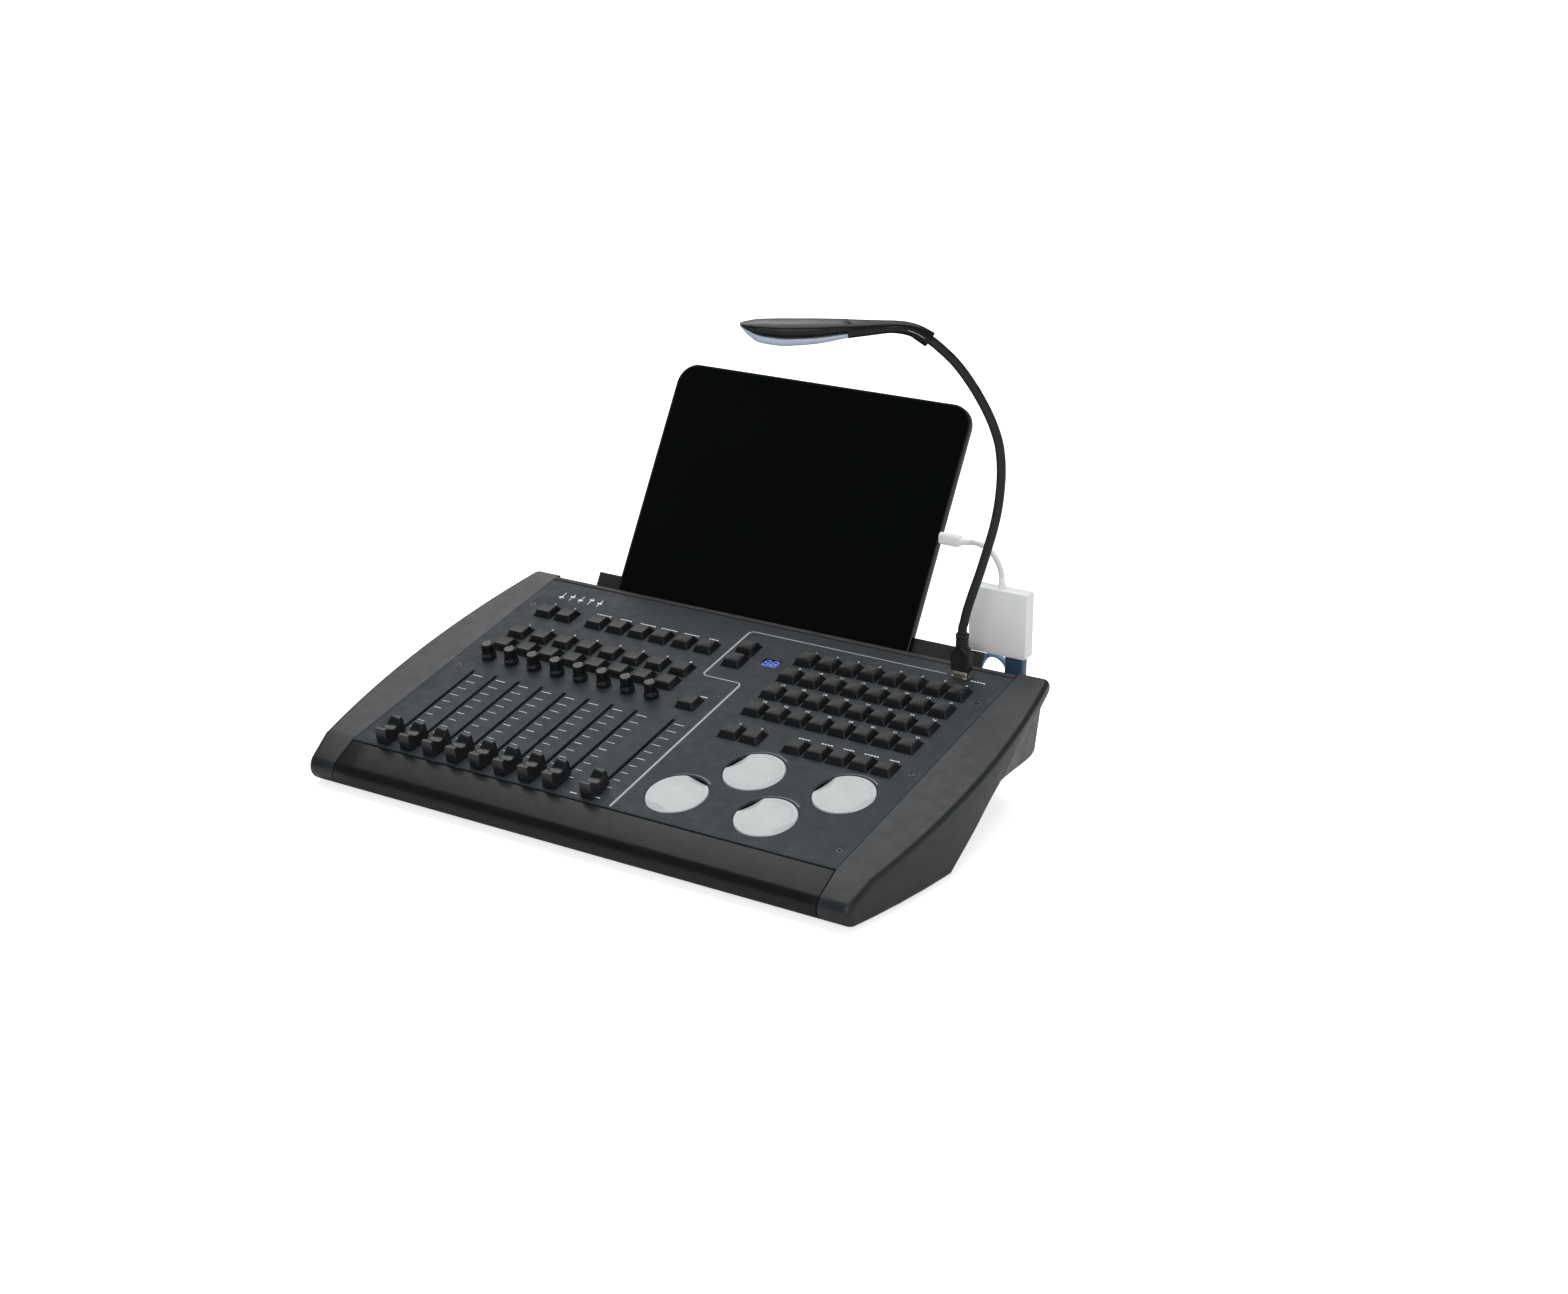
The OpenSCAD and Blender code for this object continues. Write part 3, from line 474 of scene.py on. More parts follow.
# the blue plug under the box, and the one in the desk's rear socket
shape = Shape()
shape.loft([[(BOX_PLUG_X + x * k, LEAD_Y + y * k, z) for x, y in rounded(16.6, 8.4, 2.4)]
            for z, k in ((59.4, 0.6), (60, 0.8), (61, 0.94), (63, 1), (92, 1), (95.6, 1), (96.8, 0.97))])
for z in (66, 69, 72, 75):
    shape.loft([[(BOX_PLUG_X + x, LEAD_Y + y, z + dz) for x, y in rounded(16.6 + g, 8.4 + g, 2.4)]
                for dz, g in ((-0.5, -0.1), (-0.3, 0), (0.3, 0), (0.5, -0.1))])
box_plug = piece("box_plug_blue", shape, DESK, BLUE_PLUG, "desk", ["usb_plugs"])
shape = Shape()
shape.loft([[(150 + x * k, y, 45 + z * k) for x, z in rounded(11.2, 10.4, 2)]
            for y, k in ((261, 0.96), (261.5, 1), (284, 1), (288, 0.9), (291, 0.62), (291.9, 0.5))])
desk_plug = piece("desk_plug_blue", shape, DESK, BLUE_PLUG, "desk", ["usb_plugs"])
shape = Shape()
shape.box((145.8, 252, 41.1), (154.2, 262, 48.9))
desk_plug_shell = piece("desk_plug_shell", shape, DESK, NICKEL, "desk", rounding=0.4)
blue_relief_low = relief("box_plug_relief", [(202, 292, 60), (202, 292, 54), (201.9, 292.1, 47)],
                         grooved(13, 3.4, 2.5, 0.3), BLUE_PLUG)
blue_relief_desk = relief("desk_plug_relief", [(150, 290, 45), (150, 296, 45), (150.1, 302, 45.6)],
                          grooved(13, 3.4, 2.5, 0.3), BLUE_PLUG)


# ---- case: panel, rail, cheeks, tray ----
refined("top_panel", COAT, "desk", rounding=0.3, name="panel_sheet")
NOSE = (-15, 14)
NOSE_R = 10.5
RAIL_TOP = 118
FOOT_H = 3.5
SEAM_X = PANEL_W / 2 + 0.3
rail_top = (-1, top_z(-1) - 0.4)
profile = [(-1, FOOT_H + 1), (-2, FOOT_H), *arc(NOSE, NOSE_R, 270, RAIL_TOP, 40), (-1.5, rail_top[1] - 0.15),
           (-1, rail_top[1] - 0.8)]
shape = Shape()
shape.loft([[(x, y, z) for y, z in profile] for x in (-SEAM_X + 0.8, *range(-200, 201, 50), SEAM_X - 0.8)])
piece("front_rail_skin", shape, DESK, RAIL, "desk", ["front_rail"], rounding=0.3, angle=25)

SOLE = [(y, FOOT_H) for y in (93, 62, 31, 5)]
RIM_IN = [(258, 38.5), (249, 35), (214, 33), (180, 29.5), (152, 26), (125, 21)]
RIM_OUT = [(261, 81.5), (245, 77.3), (214, 69), (180, 53.7), (152, 41), (125, 23.7)]
FIN_R = 6.2
FIN = (262.5, top_z(262.5) - FIN_R / math.cos(TILT))
CHEEK_ROUND = 5


def outer_x(y):
    """Where the cheek's bowed outer side lies at y."""
    return 260.5 - (y - 121) ** 2 / 1400


def cheek_outline(fin, rim):
    rim = [(p.x, p.y) for p in smooth_line([(*p, 0) for p in rim], 4)]
    flank = [(y, top_z(y)) for y in range(0, 253, 7)]
    return [*arc(NOSE, NOSE_R, 270, RAIL_TOP, 28), *flank, *fin, *rim, *SOLE]


def inset(outline, d):
    """The outline moved inwards by d along its own normals."""
    out = []
    for i, (y, z) in enumerate(outline):
        a, b = outline[i - 1], outline[(i + 1) % len(outline)]
        length = math.dist(a, b)
        out.append((y + d * (b[1] - a[1]) / length, z - d * (b[0] - a[0]) / length))
    return out


def bowed_cap(outline, start):
    """Triangles across an outline from its upper edge to its lower one, each step to the nearer point."""
    ys = [p[0] for p in outline]
    front, rear = ys.index(min(ys)), ys.index(max(ys))
    up = list(range(front, rear + 1))
    low = [i % len(ys) for i in range(front, rear - len(ys) - 1, -1)]
    faces, i, j = [], 0, 0
    while i < len(up) - 1 or j < len(low) - 1:
        if j == len(low) - 1 or (i < len(up) - 1 and ys[up[i + 1]] < ys[low[j + 1]]):
            faces.append([up[i], up[i + 1], low[j]])
            i += 1
        else:
            faces.append([up[i], low[j + 1], low[j]])
            j += 1
    return [[start + k for k in f] for f in faces if len(set(f)) == 3]


def cheek(side):
    fin_out = arc(FIN, FIN_R, 90 + math.degrees(TILT), -75, 14)
    inner = cheek_outline([(min(y, 266), z) for y, z in fin_out], RIM_IN)
    outer = cheek_outline(fin_out, RIM_OUT)
    upper = len(inner) - len(SOLE) - (len(RIM_IN) - 1) * 4 - 1
    creased = [outer[i] if i < upper else inner[i] for i in range(len(inner))]
    r = CHEEK_ROUND
    rings = [[(x, y, z) for y, z in ring] for x, ring in
             ((SEAM_X + 0.05, inset(inner, 0.15)), (SEAM_X + 0.2, inner),
              (236, inner), (238, creased))]
    for turn in range(0, 91, 10):
        a = math.radians(turn)
        ring = inset(outer, r * (1 - math.cos(a)))
        rings.append([(outer_x(y) - r * (1 - math.sin(a)), y, z) for y, z in ring])
    shape = Shape()
    shape.loft(rings, caps=(True, False))
    shape.faces += bowed_cap(inset(outer, r), (len(rings) - 1) * len(outer))
    ledge = [(1.6, FOOT_H + 0.6), (1.6, top_z(1.6) - 2.1), (254, top_z(254) - 2.1),
             *[(min(y, 254), z + 0.6) for y, z in (*RIM_IN, *SOLE) if y > 10]]
    shape.loft([[(x, y, z) for y, z in ledge] for x in (205.4, SEAM_X + 0.9)])
    shape.verts = [(side * x, y, z) for x, y, z in shape.verts]
    word = "right" if side > 0 else "left"
    piece(word + "_cheek_shell", shape, DESK, CASE, "desk", [word + "_cheek"], angle=32)


for side in (-1, 1):
    cheek(side)

refined("base_tray", TRAY, "desk", rounding=0.3, name="tray_folded")
refined("rubber_feet", RUBBER, "desk", rounding=0.8, steps=3, name="feet_moulded")
refined("case_screws", SCREW, "desk", rounding=0.12, name="screws_blackened")

# ---- dock ----
refined("tablet_dock", DOCK, "desk", rounding=0.4, name="dock_folded")
refined("dock_pad", RUBBER, "desk", rounding=0.3, name="dock_pad_soft")

# ---- inside and behind ----
for node, material in (("circuit_boards", BOARD), ("fader_tracks", STEEL), ("encoder_bodies", STEEL),
                       ("key_switches", SWITCH)):
    paint(node, material)
USB_X = 150


def is_metal_shell(p):
    """The two USB sockets and the control socket's flange, as against the black inserts."""
    x, y, z = DESK.inverted() @ p
    return abs(x - USB_X) < 8 or abs(x - LAMP_AT.x) < 9 and z > 70 or abs(x - 60) < 13.5 and y > 259.8


refined("rear_sockets", PORT, "desk", rounding=0.15, name="sockets_detailed", other=NICKEL,
        where=is_metal_shell)
refined("power_switch", SWITCH, "power_switch", rounding=0.35, name="rocker_moulded")

# ---- keys ----
KEY_PITCH = 19.2
KEY_W = 17
KEY_H = 5
KEY_TOP = (12, 11.5)


def key_cap(shape, u, v):
    """One key: a square skirt, flat flanks narrowing to the top, and a shallow dish."""
    rings = [(KEY_W - 0.3, KEY_W - 0.3, 0.9, -3.8), (KEY_W, KEY_W, 0.9, -3.4), (KEY_W, KEY_W, 0.9, 0)]
    for share in (0.04, 0.5, 0.94):
        rings.append((KEY_W + (KEY_TOP[0] + 0.3 - KEY_W) * share, KEY_W + (KEY_TOP[1] + 0.3 - KEY_W) * share,
                      0.9 + 0.2 * share, KEY_H * share))
    rings.append((KEY_TOP[0] + 0.1, KEY_TOP[1] + 0.1, 1.1, KEY_H - 0.12))
    rings.append((KEY_TOP[0] - 0.3, KEY_TOP[1] - 0.3, 1.0, KEY_H - 0.01))
    for share in (0.9, 0.7, 0.45, 0.2):
        rings.append((KEY_TOP[0] * share, KEY_TOP[1] * share, 1.1 * share, KEY_H - 0.5 * (1 - share ** 2)))
    shape.loft([[(u + x, v + y, h) for x, y in rounded(w, d, r, 3)] for w, d, r, h in rings])


def key_row(node, places):
    shape = Shape()
    for u, v in places:
        key_cap(shape, u, v)
    piece(node + "_caps", shape, ON_PANEL, KEY, node, [node], angle=28)


FADER_PITCH = 23
FADER_U = [-192.2 + FADER_PITCH * i for i in range(8)]
MASTER_U = 3.8
MENU_U = [-190.9, -170.7, -139.2, -117.6, -96.2, -75.4, -53, -31.1]
MENU_V = 215
FLASH_V = (179.3, 158.8)
CUE_U = [56.4 + KEY_PITCH * i for i in range(8)]
CUE_V = (226.6, 201.6, 176.4, 150.9)
COMMAND_V = 118
COMMAND_U = [56.6, 75.6, 113.6, 132.8, 152, 171.2, 190.4]
key_row("keys_menu_row", [(u, MENU_V) for u in MENU_U])
key_row("keys_flash_upper", [(u, FLASH_V[0]) for u in FADER_U])
key_row("keys_flash_lower", [(u, FLASH_V[1]) for u in FADER_U])
key_row("key_control", [(2.4, 140.3)])
key_row("keys_display", [(2.2, 224.6), (2.2, 205.4)])
for i, v in enumerate(CUE_V):
    key_row(f"keys_cue_row_{i + 1}", [(u, v) for u in CUE_U])
key_row("keys_command_row", [(u, COMMAND_V) for u in COMMAND_U])

# ---- faders ----
FADER_V = 14
CAP_L = 23
CAP_LOW, CAP_TOP, SADDLE = 0.8, 13.4, 9.4


def cap_height(v):
    """Height of a fader cap's top at v from its middle."""
    v = abs(v)
    if v > CAP_L / 2 - 0.9:
        return CAP_LOW + (CAP_TOP - CAP_LOW) * (CAP_L / 2 - v) / 0.9
    dip = (1 - math.cos(math.pi * min(1, max(0, (v - 1.4) / 7.6)))) / 2
    return SADDLE + (CAP_TOP - SADDLE) * dip


def cap_section(v, lift=0.0):
    """A fader cap's section at v: straight leaning flanks and a softly rounded top."""
    top = cap_height(v) + lift
    plan = 5 + 1.4 * (1 - abs(v) / (CAP_L / 2)) + lift

    def half(h):
        return min(plan, 6.5 - (h - CAP_LOW) * 1.9 / 14.2 + lift)

    soft = min(0.9, (top - CAP_LOW) / 3)
    left = [(-half(CAP_LOW), v, CAP_LOW), (-half(top - soft), v, top - soft)]
    left += [(-half(top) + soft * (1 - math.cos(a)), v, top - soft * (1 - math.sin(a)))
             for a in (math.radians(30), math.radians(60), math.radians(90))]
    return left + [(-x, y, z) for x, y, z in left[::-1]]


def fader(node, u):
    at_fader = ON_PANEL @ Matrix.Translation((u, FADER_V, 0))
    shape = Shape()
    n = 60
    shape.loft([cap_section(CAP_L * (0.4999 - k / n)) for k in range(n + 1)])
    shape.box((-0.8, -3, -8), (0.8, 3, 2))
    shape.box((-2.9, -5, -11), (2.9, 5, -5))
    piece(node + "_cap", shape, at_fader, CAP, node, [node], angle=38)
    shape = Shape()
    shape.loft([cap_section(d, 0.05)[1:-1] for d in (-0.2, 0.2)])
    piece(node + "_line", shape, at_fader, PRINT_ARC, node)


for i, u in enumerate([*FADER_U, MASTER_U]):
    fader(f"fader_{i + 1}" if i < 8 else "fader_master", u)

# ---- knobs ----
KNOB_U0, KNOB_V = -192.8, 138.5
for i in range(8):
    shape = Shape()
    shape.lathe([(3, -11), (3, 0.6), (5.8, 0.6), (6, 0.85), (6, 3.1), (5.85, 3.5), (5.3, 4.6), (5.0, 5.6),
                 (4.88, 6.4), (4.78, 9), (4.64, 12.6), (4.5, 13.1), (4.15, 13.4), (3.7, 13.5), (3.2, 13.42),
                 (2.6, 13.36)], steps=56)
    place = ON_PANEL @ Matrix.Translation((KNOB_U0 + FADER_PITCH * i, KNOB_V, 0))
    piece(f"knob_{i + 1}_turned", shape, place, KNOB, f"knob_{i + 1}", [f"knob_{i + 1}"], angle=32)
    shape = Shape()
    shape.box((-0.35, 2.9, 13.3), (0.35, 4.4, 13.5))
    piece(f"knob_{i + 1}_pointer", shape, place, PRINT_LINE, f"knob_{i + 1}", rounding=0.08)

# ---- wheels ----
WHEELS = [(63, 34.1), (101, 79.9), (140.2, 34.1), (178.3, 79.9)]
WHEEL_TURN = [75, -20, -25, -15]
WHEEL_R = 23.6
SCOOP_R, SCOOP_OUT, SCOOP_UP = 26.5, 29, 22.5
CREASE = 0.08
FACE = [(0, -1.8), (11.6, -1.4), (18.6, -0.4), (20.4, 0.25), (21.4, 0.56), (22.2, 0.6), (22.8, 0.42),
        (23.3, 0.02), (23.6, -0.5)]


def wheel_top(r, a, turn):
    """Height of a wheel's face, dished and with two opposite finger scoops."""
    h = at(FACE, r)
    for side in (0, math.pi):
        x = r * math.cos(a) - SCOOP_OUT * math.cos(turn + side)
        y = r * math.sin(a) - SCOOP_OUT * math.sin(turn + side)
        if math.hypot(x, y) >= SCOOP_R:
            continue
        scoop = SCOOP_UP - math.sqrt(SCOOP_R ** 2 - x * x - y * y)
        share = min(1, max(0, 0.5 + (scoop - h) / (2 * CREASE)))
        h = scoop * (1 - share) + h * share - CREASE * share * (1 - share)
    return h


for i, (u, v) in enumerate(WHEELS):
    turn = math.radians(WHEEL_TURN[i])
    turns = [2 * math.pi * k / 160 for k in range(160)]
    radii = [0.6, *range(2, 14, 2), *[14 + 0.4 * k for k in range(24)], WHEEL_R]
    rings = [[(r * math.cos(a), r * math.sin(a), wheel_top(r, a, turn)) for a in turns] for r in radii]
    rings += [[(r * math.cos(a), r * math.sin(a), h) for a in turns]
              for r, h in ((WHEEL_R, -4.9), (WHEEL_R - 0.4, -5.5), (WHEEL_R - 2, -7), (6, -7), (6, -8.4),
                           (3, -8.4), (3, -15))]
    shape = Shape()
    shape.loft(rings)
    name = f"wheel_{i + 1}"
    place = ON_PANEL @ Matrix.Translation((u, v, 0))
    piece(name + "_face", shape, place, WHEEL, name, [name], angle=50)

# ---- tablet ----
AT_TABLET = IN_DOCK @ Matrix.Translation((TABLET_X, 0, TABLET[1] / 2))
GLASS_EDGE = 1.6
w, h, t = TABLET


def plate(w, h, r, y):
    return [(x, y, z) for x, z in rounded(w, h, r, 14)]


shape = Shape()
lip = w - 2 * GLASS_EDGE, h - 2 * GLASS_EDGE
shape.loft([plate(lip[0] + 0.1, lip[1] + 0.1, 16.45, 0.5), plate(lip[0] + 0.1, lip[1] + 0.1, 16.45, 0.1),
            plate(lip[0] + 0.4, lip[1] + 0.4, 16.6, 0), plate(w - 0.8, h - 0.8, 17.6, 0),
            plate(w - 0.2, h - 0.2, 17.9, 0.15), plate(w, h, 18, 0.5), plate(w, h, 18, t - 0.5),
            plate(w - 0.2, h - 0.2, 17.9, t - 0.15), plate(w - 0.8, h - 0.8, 17.6, t)])
piece("tablet_body", shape, AT_TABLET, TABLET_METAL, "desk", ["tablet_shell"], angle=40)
shape = Shape()
shape.loft([plate(lip[0] - 0.1, lip[1] - 0.1, 16.35, 0.7), plate(lip[0] - 0.1, lip[1] - 0.1, 16.35, 0.18),
            plate(lip[0] - 0.3, lip[1] - 0.3, 16.25, 0.04), plate(lip[0] - 0.8, lip[1] - 0.8, 16, 0)])
piece("tablet_screen", shape, AT_TABLET, GLASS, "desk", ["tablet_glass"], angle=40)
shape = Shape()
turns = [math.radians(d) for d in range(0, 360, 8)]
for x, z in ((-122, 72), (-122, 88)):
    shape.loft([[(x + r * math.cos(a), y, z + r * math.sin(a)) for a in turns]
                for y, r in ((5.8, 5.4), (6.04, 5.4), (6.06, 5.1), (5.95, 4.5))])
piece("tablet_cameras", shape, AT_TABLET, LENS_GLASS, "desk")
shape = Shape()
for z, length in ((h / 2 - 60, 16), (h / 2 - 80, 16)):
    shape.box((-w / 2, 2.1, z - length / 2), (-w / 2 + 0.6, 3.9, z + length / 2))
shape.box((w / 2 - 40, 2.1, h / 2 - 0.5), (w / 2 - 26, 3.9, h / 2 - 0.02))
piece("tablet_buttons", shape, AT_TABLET, TABLET_METAL, "desk", rounding=0.2)

# ---- display window with plain numbers ----
DISPLAY_AT = (30.3, 213.5)
refined("display_window", SMOKED, "desk", rounding=0.15, name="window_smoked")


def eight(shape, x, y, w, h, h0, h1):
    """The number 8 in seven segments, each bar a thin hexagon."""
    bars = ((0, h, w, h), (w, h / 2, w, h), (w, 0, w, h / 2), (0, 0, w, 0), (0, 0, 0, h / 2),
            (0, h / 2, 0, h), (0, h / 2, w, h / 2))
    for bar in bars:
        a, b = Vector(bar[:2]), Vector(bar[2:])
        along = (b - a).normalized()
        across = Vector((-along.y, along.x)) * 0.42
        p, q = a + along * 0.25, b - along * 0.25
        outline = [p, p + along * 0.42 - across, q - along * 0.42 - across, q, q - along * 0.42 + across,
                   p + along * 0.42 + across]
        shape.prism([(x + c.x + c.y * 0.12, y + c.y) for c in outline], h0, h1)


shape = Shape()
for x in (-6, 1.1):
    eight(shape, DISPLAY_AT[0] + x, DISPLAY_AT[1] - 3.6, 4.4, 7.2, -0.12, -0.04)
piece("display_digits", shape, ON_PANEL, DIGIT, "desk")

# ---- lamp: plug, flexible neck, head and lens ----
shape = Shape()
rings = [(5, 14.6, 7.8, 1.6), (5.3, 15.2, 8.5, 1.6), (17, 16.4, 8.6, 1.4), (19.6, 15.6, 8.7, 1.6),
         (23.2, 11, 9.6, 3.4), (24.2, 10.2, 10.2, 5.05), (25, 8.8, 8.8, 4.35)]
for z in (25.2, 27.6, 30):
    rings += [(z, 8.8, 8.8, 4.35), (z + 0.3, 10, 10, 4.95), (z + 1.3, 10, 10, 4.95),
              (z + 1.6, 8.8, 8.8, 4.35)]
rings += [(32, 8.8, 8.8, 4.35), (32.3, 10.3, 10.3, 5.1), (34.2, 10.3, 10.3, 5.1), (34.5, 9.8, 9.8, 4.85)]
shape.loft([[(x, y, z) for x, y in rounded(w, d, r, 8)] for z, w, d, r in rings])
piece("lamp_plug_body", shape, AT_LAMP, PLUG_BLACK, "desk", ["lamp_plug"], angle=34)
shape = Shape()
shape.loft([[(x, y, z) for x, y in rounded(12, 4.4, 0.5, 3)] for z in (-11.5, 5.2)])
piece("lamp_plug_shell", shape, AT_LAMP, GOLD, "desk", rounding=0.15)

NECK = [(0, 33), (0, 39), (-1.2, 44), (-3, 53), (-7, 67), (-12, 83), (-17, 101), (-21.5, 119), (-24.6, 138),
        (-25.8, 160), (-24, 180), (-19.6, 195), (-13.4, 209), (-5.6, 223), (3, 235.6), (12, 246.6),
        (22.8, 256.6), (27, 260), (32, 263.6)]
NECK_R = 3.5


def sleeve(name, first, last):
    """A stretch of the neck's sleeve, a tube along the neck's line from one of its points to another."""
    line = smooth_line([(x, 0, z) for x, z in NECK[first:last + 1]], 6)
    shape = Shape()
    shape.loft(tube_rings(line, NECK_R, 28))
    mesh = bpy.data.meshes.new(name)
    mesh.from_pydata([IN_LAMP @ Vector(v) for v in shape.verts], [], shape.faces)
    mesh.shade_smooth()
    mesh.set_sharp_from_angle(angle=math.radians(60))
    mesh.materials.append(SLEEVE)
    obj = bpy.data.objects.new(name, mesh)
    bpy.context.collection.objects.link(obj)
    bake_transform(obj)
    return obj


sleeve("neck_sleeve_base", 0, 6)
lower = sleeve("neck_sleeve_middle", 6, 13)
upper = sleeve("neck_sleeve_top", 13, 18)
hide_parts("lamp_neck_lower")
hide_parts("lamp_neck_upper")

HEAD_HALF = [(20, 5.4), (44, 5.6), (62, 7), (86, 11.5), (112, 15.4), (138, 16), (156, 12.6), (165, 6.4),
             (168, 2.6)]
HEAD_TOP = 275.6


def lamp_section(top, bottom, half, corner, flat_top=False):
    """A ring across the lamp head between its upper and lower points; corner 2 is round, 4 nearly square."""
    top, bottom = Vector((top[0], 0, min(top[1], HEAD_TOP))), Vector((bottom[0], 0, bottom[1]))
    middle, up = (top + bottom) / 2, (top - bottom) / 2
    ring = []
    for k in range(40):
        a = 2 * math.pi * (k + 0.5) / 40
        c, s = math.cos(a), math.sin(a)
        across = math.copysign(abs(c) ** (2 / corner), c) * half
        rise = math.copysign(abs(s) ** (2 / corner), s)
        if flat_top:
            point = top - up * 2 * (abs(s) ** (2 / corner) if s < 0 else 0)
        else:
            point = middle + up * rise
        ring.append(point + Vector((0, across, 0)))
    return ring


def between(table, count):
    """Pairs of upper and lower points, with smooth ones added between them."""
    uppers = smooth_line([(*a, 0) for a, b in table], count)
    lowers = smooth_line([(*b, 0) for a, b in table], count)
    return [((a.x, a.y), (b.x, b.y)) for a, b in zip(uppers, lowers)]


stem = between([((25.6, 266.6), (32.8, 256.6)), ((35, 271.6), (39, 261)), ((45, 274.6), (45, 264.6)),
                ((57, 275.6), (57, 266.6)), ((73, 275.6), (73, 265.2)), ((88.9, 275.6), (88.9, 263.7))], 5)
hood = between([((89.1, 275.6), (89.1, 268.4)), ((109, 275.6), (109, 266.2)), ((130, 275.6), (130, 265.3)),
                ((151, 275.6), (151, 266.9)), ((160, 274.9), (160, 269.9)),
                ((167.3, 273.9), (167.3, 272.6))], 5)
rings = []
for a, b in stem + hood:
    x = (a[0] + b[0]) / 2
    rings.append(lamp_section(a, b, at(HEAD_HALF, x), at([(30, 2), (60, 2.4), (90, 3.2), (168, 3.2)], x)))
shape = Shape()
shape.loft(rings)
piece("lamp_head_shell", shape, IN_LAMP, LAMP, "lamp_head", ["lamp_head"], angle=40)
lens = between([((89.2, 268.3), (89.2, 263.8)), ((110, 266.1), (110, 259.9)), ((131, 265.2), (131, 258.2)),
                ((142, 265.8), (142, 258.6)), ((153.5, 267.3), (153.5, 260.5)), ((162, 270.4), (162, 266)),
                ((166.8, 272.4), (166.8, 271.8))], 5)
shape = Shape()
shape.loft([lamp_section(a, b, at(HEAD_HALF, a[0]) - 0.35, 2.6, flat_top=True) for a, b in lens])
piece("lamp_lens_moulded", shape, IN_LAMP, LENS, "lamp_head", ["lamp_lens"], angle=40)
shape = Shape()
for side in (-1, 1):
    line = smooth_line([(33, side * 5.2, 263.6), (39, side * 5.35, 267.2), (46, side * 5.4, 270)], 6)
    for lift in (1.5, -1.5):
        shape.loft(tube_rings([p + Vector((0, 0, lift)) for p in line], 0.55, 10))
piece("lamp_collar_prongs", shape, IN_LAMP, LAMP, "lamp_head", angle=50)
shape = Shape()
for side in (-1, 1):
    line = smooth_line([(33.5, side * 5.2, 263.9), (39, side * 5.35, 267.2), (45.5, side * 5.4, 269.8)], 6)
    shape.loft(tube_rings(line, 0.42, 10))
piece("lamp_collar_slit", shape, IN_LAMP, NICKEL, "lamp_head", angle=50)


# ---- printing on the panel ----
INK_LOW, INK_HIGH = -0.02, 0.04


def stroke(shape, points, widths):
    """A printed line through points, as wide as widths says at each."""
    pts = [Vector(p) for p in points]
    rings = []
    for i, p in enumerate(pts):
        before, after = pts[max(i - 1, 0)], pts[min(i + 1, len(pts) - 1)]
        along = (after - before).normalized()
        across = Vector((-along.y, along.x)) * (widths[i] if isinstance(widths, list) else widths) / 2
        a, b = p + across, p - across
        rings.append([(a.x, a.y, INK_LOW), (b.x, b.y, INK_LOW), (b.x, b.y, INK_HIGH), (a.x, a.y, INK_HIGH)])
    shape.loft(rings)


def number(shape, text, u, v, height):
    """A plain number printed with its middle at u, v."""
    curve = bpy.data.curves.new("number", "FONT")
    curve.body = text
    curve.size = height * 1.42
    curve.align_x = "CENTER"
    curve.align_y = "CENTER"
    curve.resolution_u = 3
    curve.offset = 0.05
    curve.extrude = (INK_HIGH - INK_LOW) / 2
    obj = bpy.data.objects.new("number", curve)
    mesh = obj.to_mesh()
    middle = (INK_HIGH + INK_LOW) / 2
    shape.add([(u + p.co.x, v + p.co.y, middle + p.co.z) for p in mesh.vertices],
              [list(f.vertices) for f in mesh.polygons])
    obj.to_mesh_clear()
    bpy.data.objects.remove(obj)
    bpy.data.curves.remove(curve)


shape = Shape()
for i, v in enumerate(CUE_V):
    for j, u in enumerate(CUE_U):
        number(shape, str(8 * i + j + 1), u + 0.5, v + 12.6, 2.8)
for i, u in enumerate(FADER_U):
    number(shape, str(i + 1), u, 191.8, 3)
piece("print_numbers", shape, ON_PANEL, PRINT, "desk")

shape = Shape()
for u in (*FADER_U, MASTER_U):
    for k in range(10):
        v = 112 - 10 * k
        stroke(shape, [(u + 3.6, v), (u + 12.8 - 0.4 * k, v)], 0.42 if k % 5 else 0.56)
piece("print_scales", shape, ON_PANEL, PRINT, "desk")

# words become plain dashes of the same length
DASHES = [(-148.9, -133.8, 227.8), (-125.1, -113.1, 227.8), (-105, -89.3, 227.8), (-84.1, -67.9, 227.8),
          (-61.2, -46.4, 227.8), (-37, -27.6, 227.8), (108.3, 118.9, 130.7), (128.3, 138.8, 130.7),
          (147.5, 157.3, 130.7), (165.4, 178.3, 130.7), (187.1, 195.8, 130.7), (4.9, 11.6, 152.5),
          (190.5, 203.5, 247.6), (-13.4, -6.7, 5.9), (6.6, 13.2, 7.7)]
shape = Shape()
for start, end, v in DASHES:
    n = max(2, round((end - start) / 2.4))
    step = (end - start) / n
    for k in range(n):
        stroke(shape, [(start + step * k, v), (start + step * (k + 0.74), v)], 1.1)
for u in (-192.3, -171.7, 56, 75.4):
    v = 227.8 if u < 0 else 130.7
    stroke(shape, [(u - 1.4, v - 1.1), (u + 1.2, v), (u - 1.4, v + 1.1)], 0.5)
piece("print_labels", shape, ON_PANEL, PRINT, "desk")

# five plain slider marks where the desk had its title; the badge beside it is left out
shape = Shape()
for k in range(5):
    u = -195 + 9.5 * k
    level = 240 + 1.2 * (3 * k % 5)
    stroke(shape, [(u, 237.6), (u, 247.4)], 0.7)
    stroke(shape, [(u - 2.2, level), (u + 2.2, level)], 1.9)
piece("print_title", shape, ON_PANEL, PRINT, "desk")

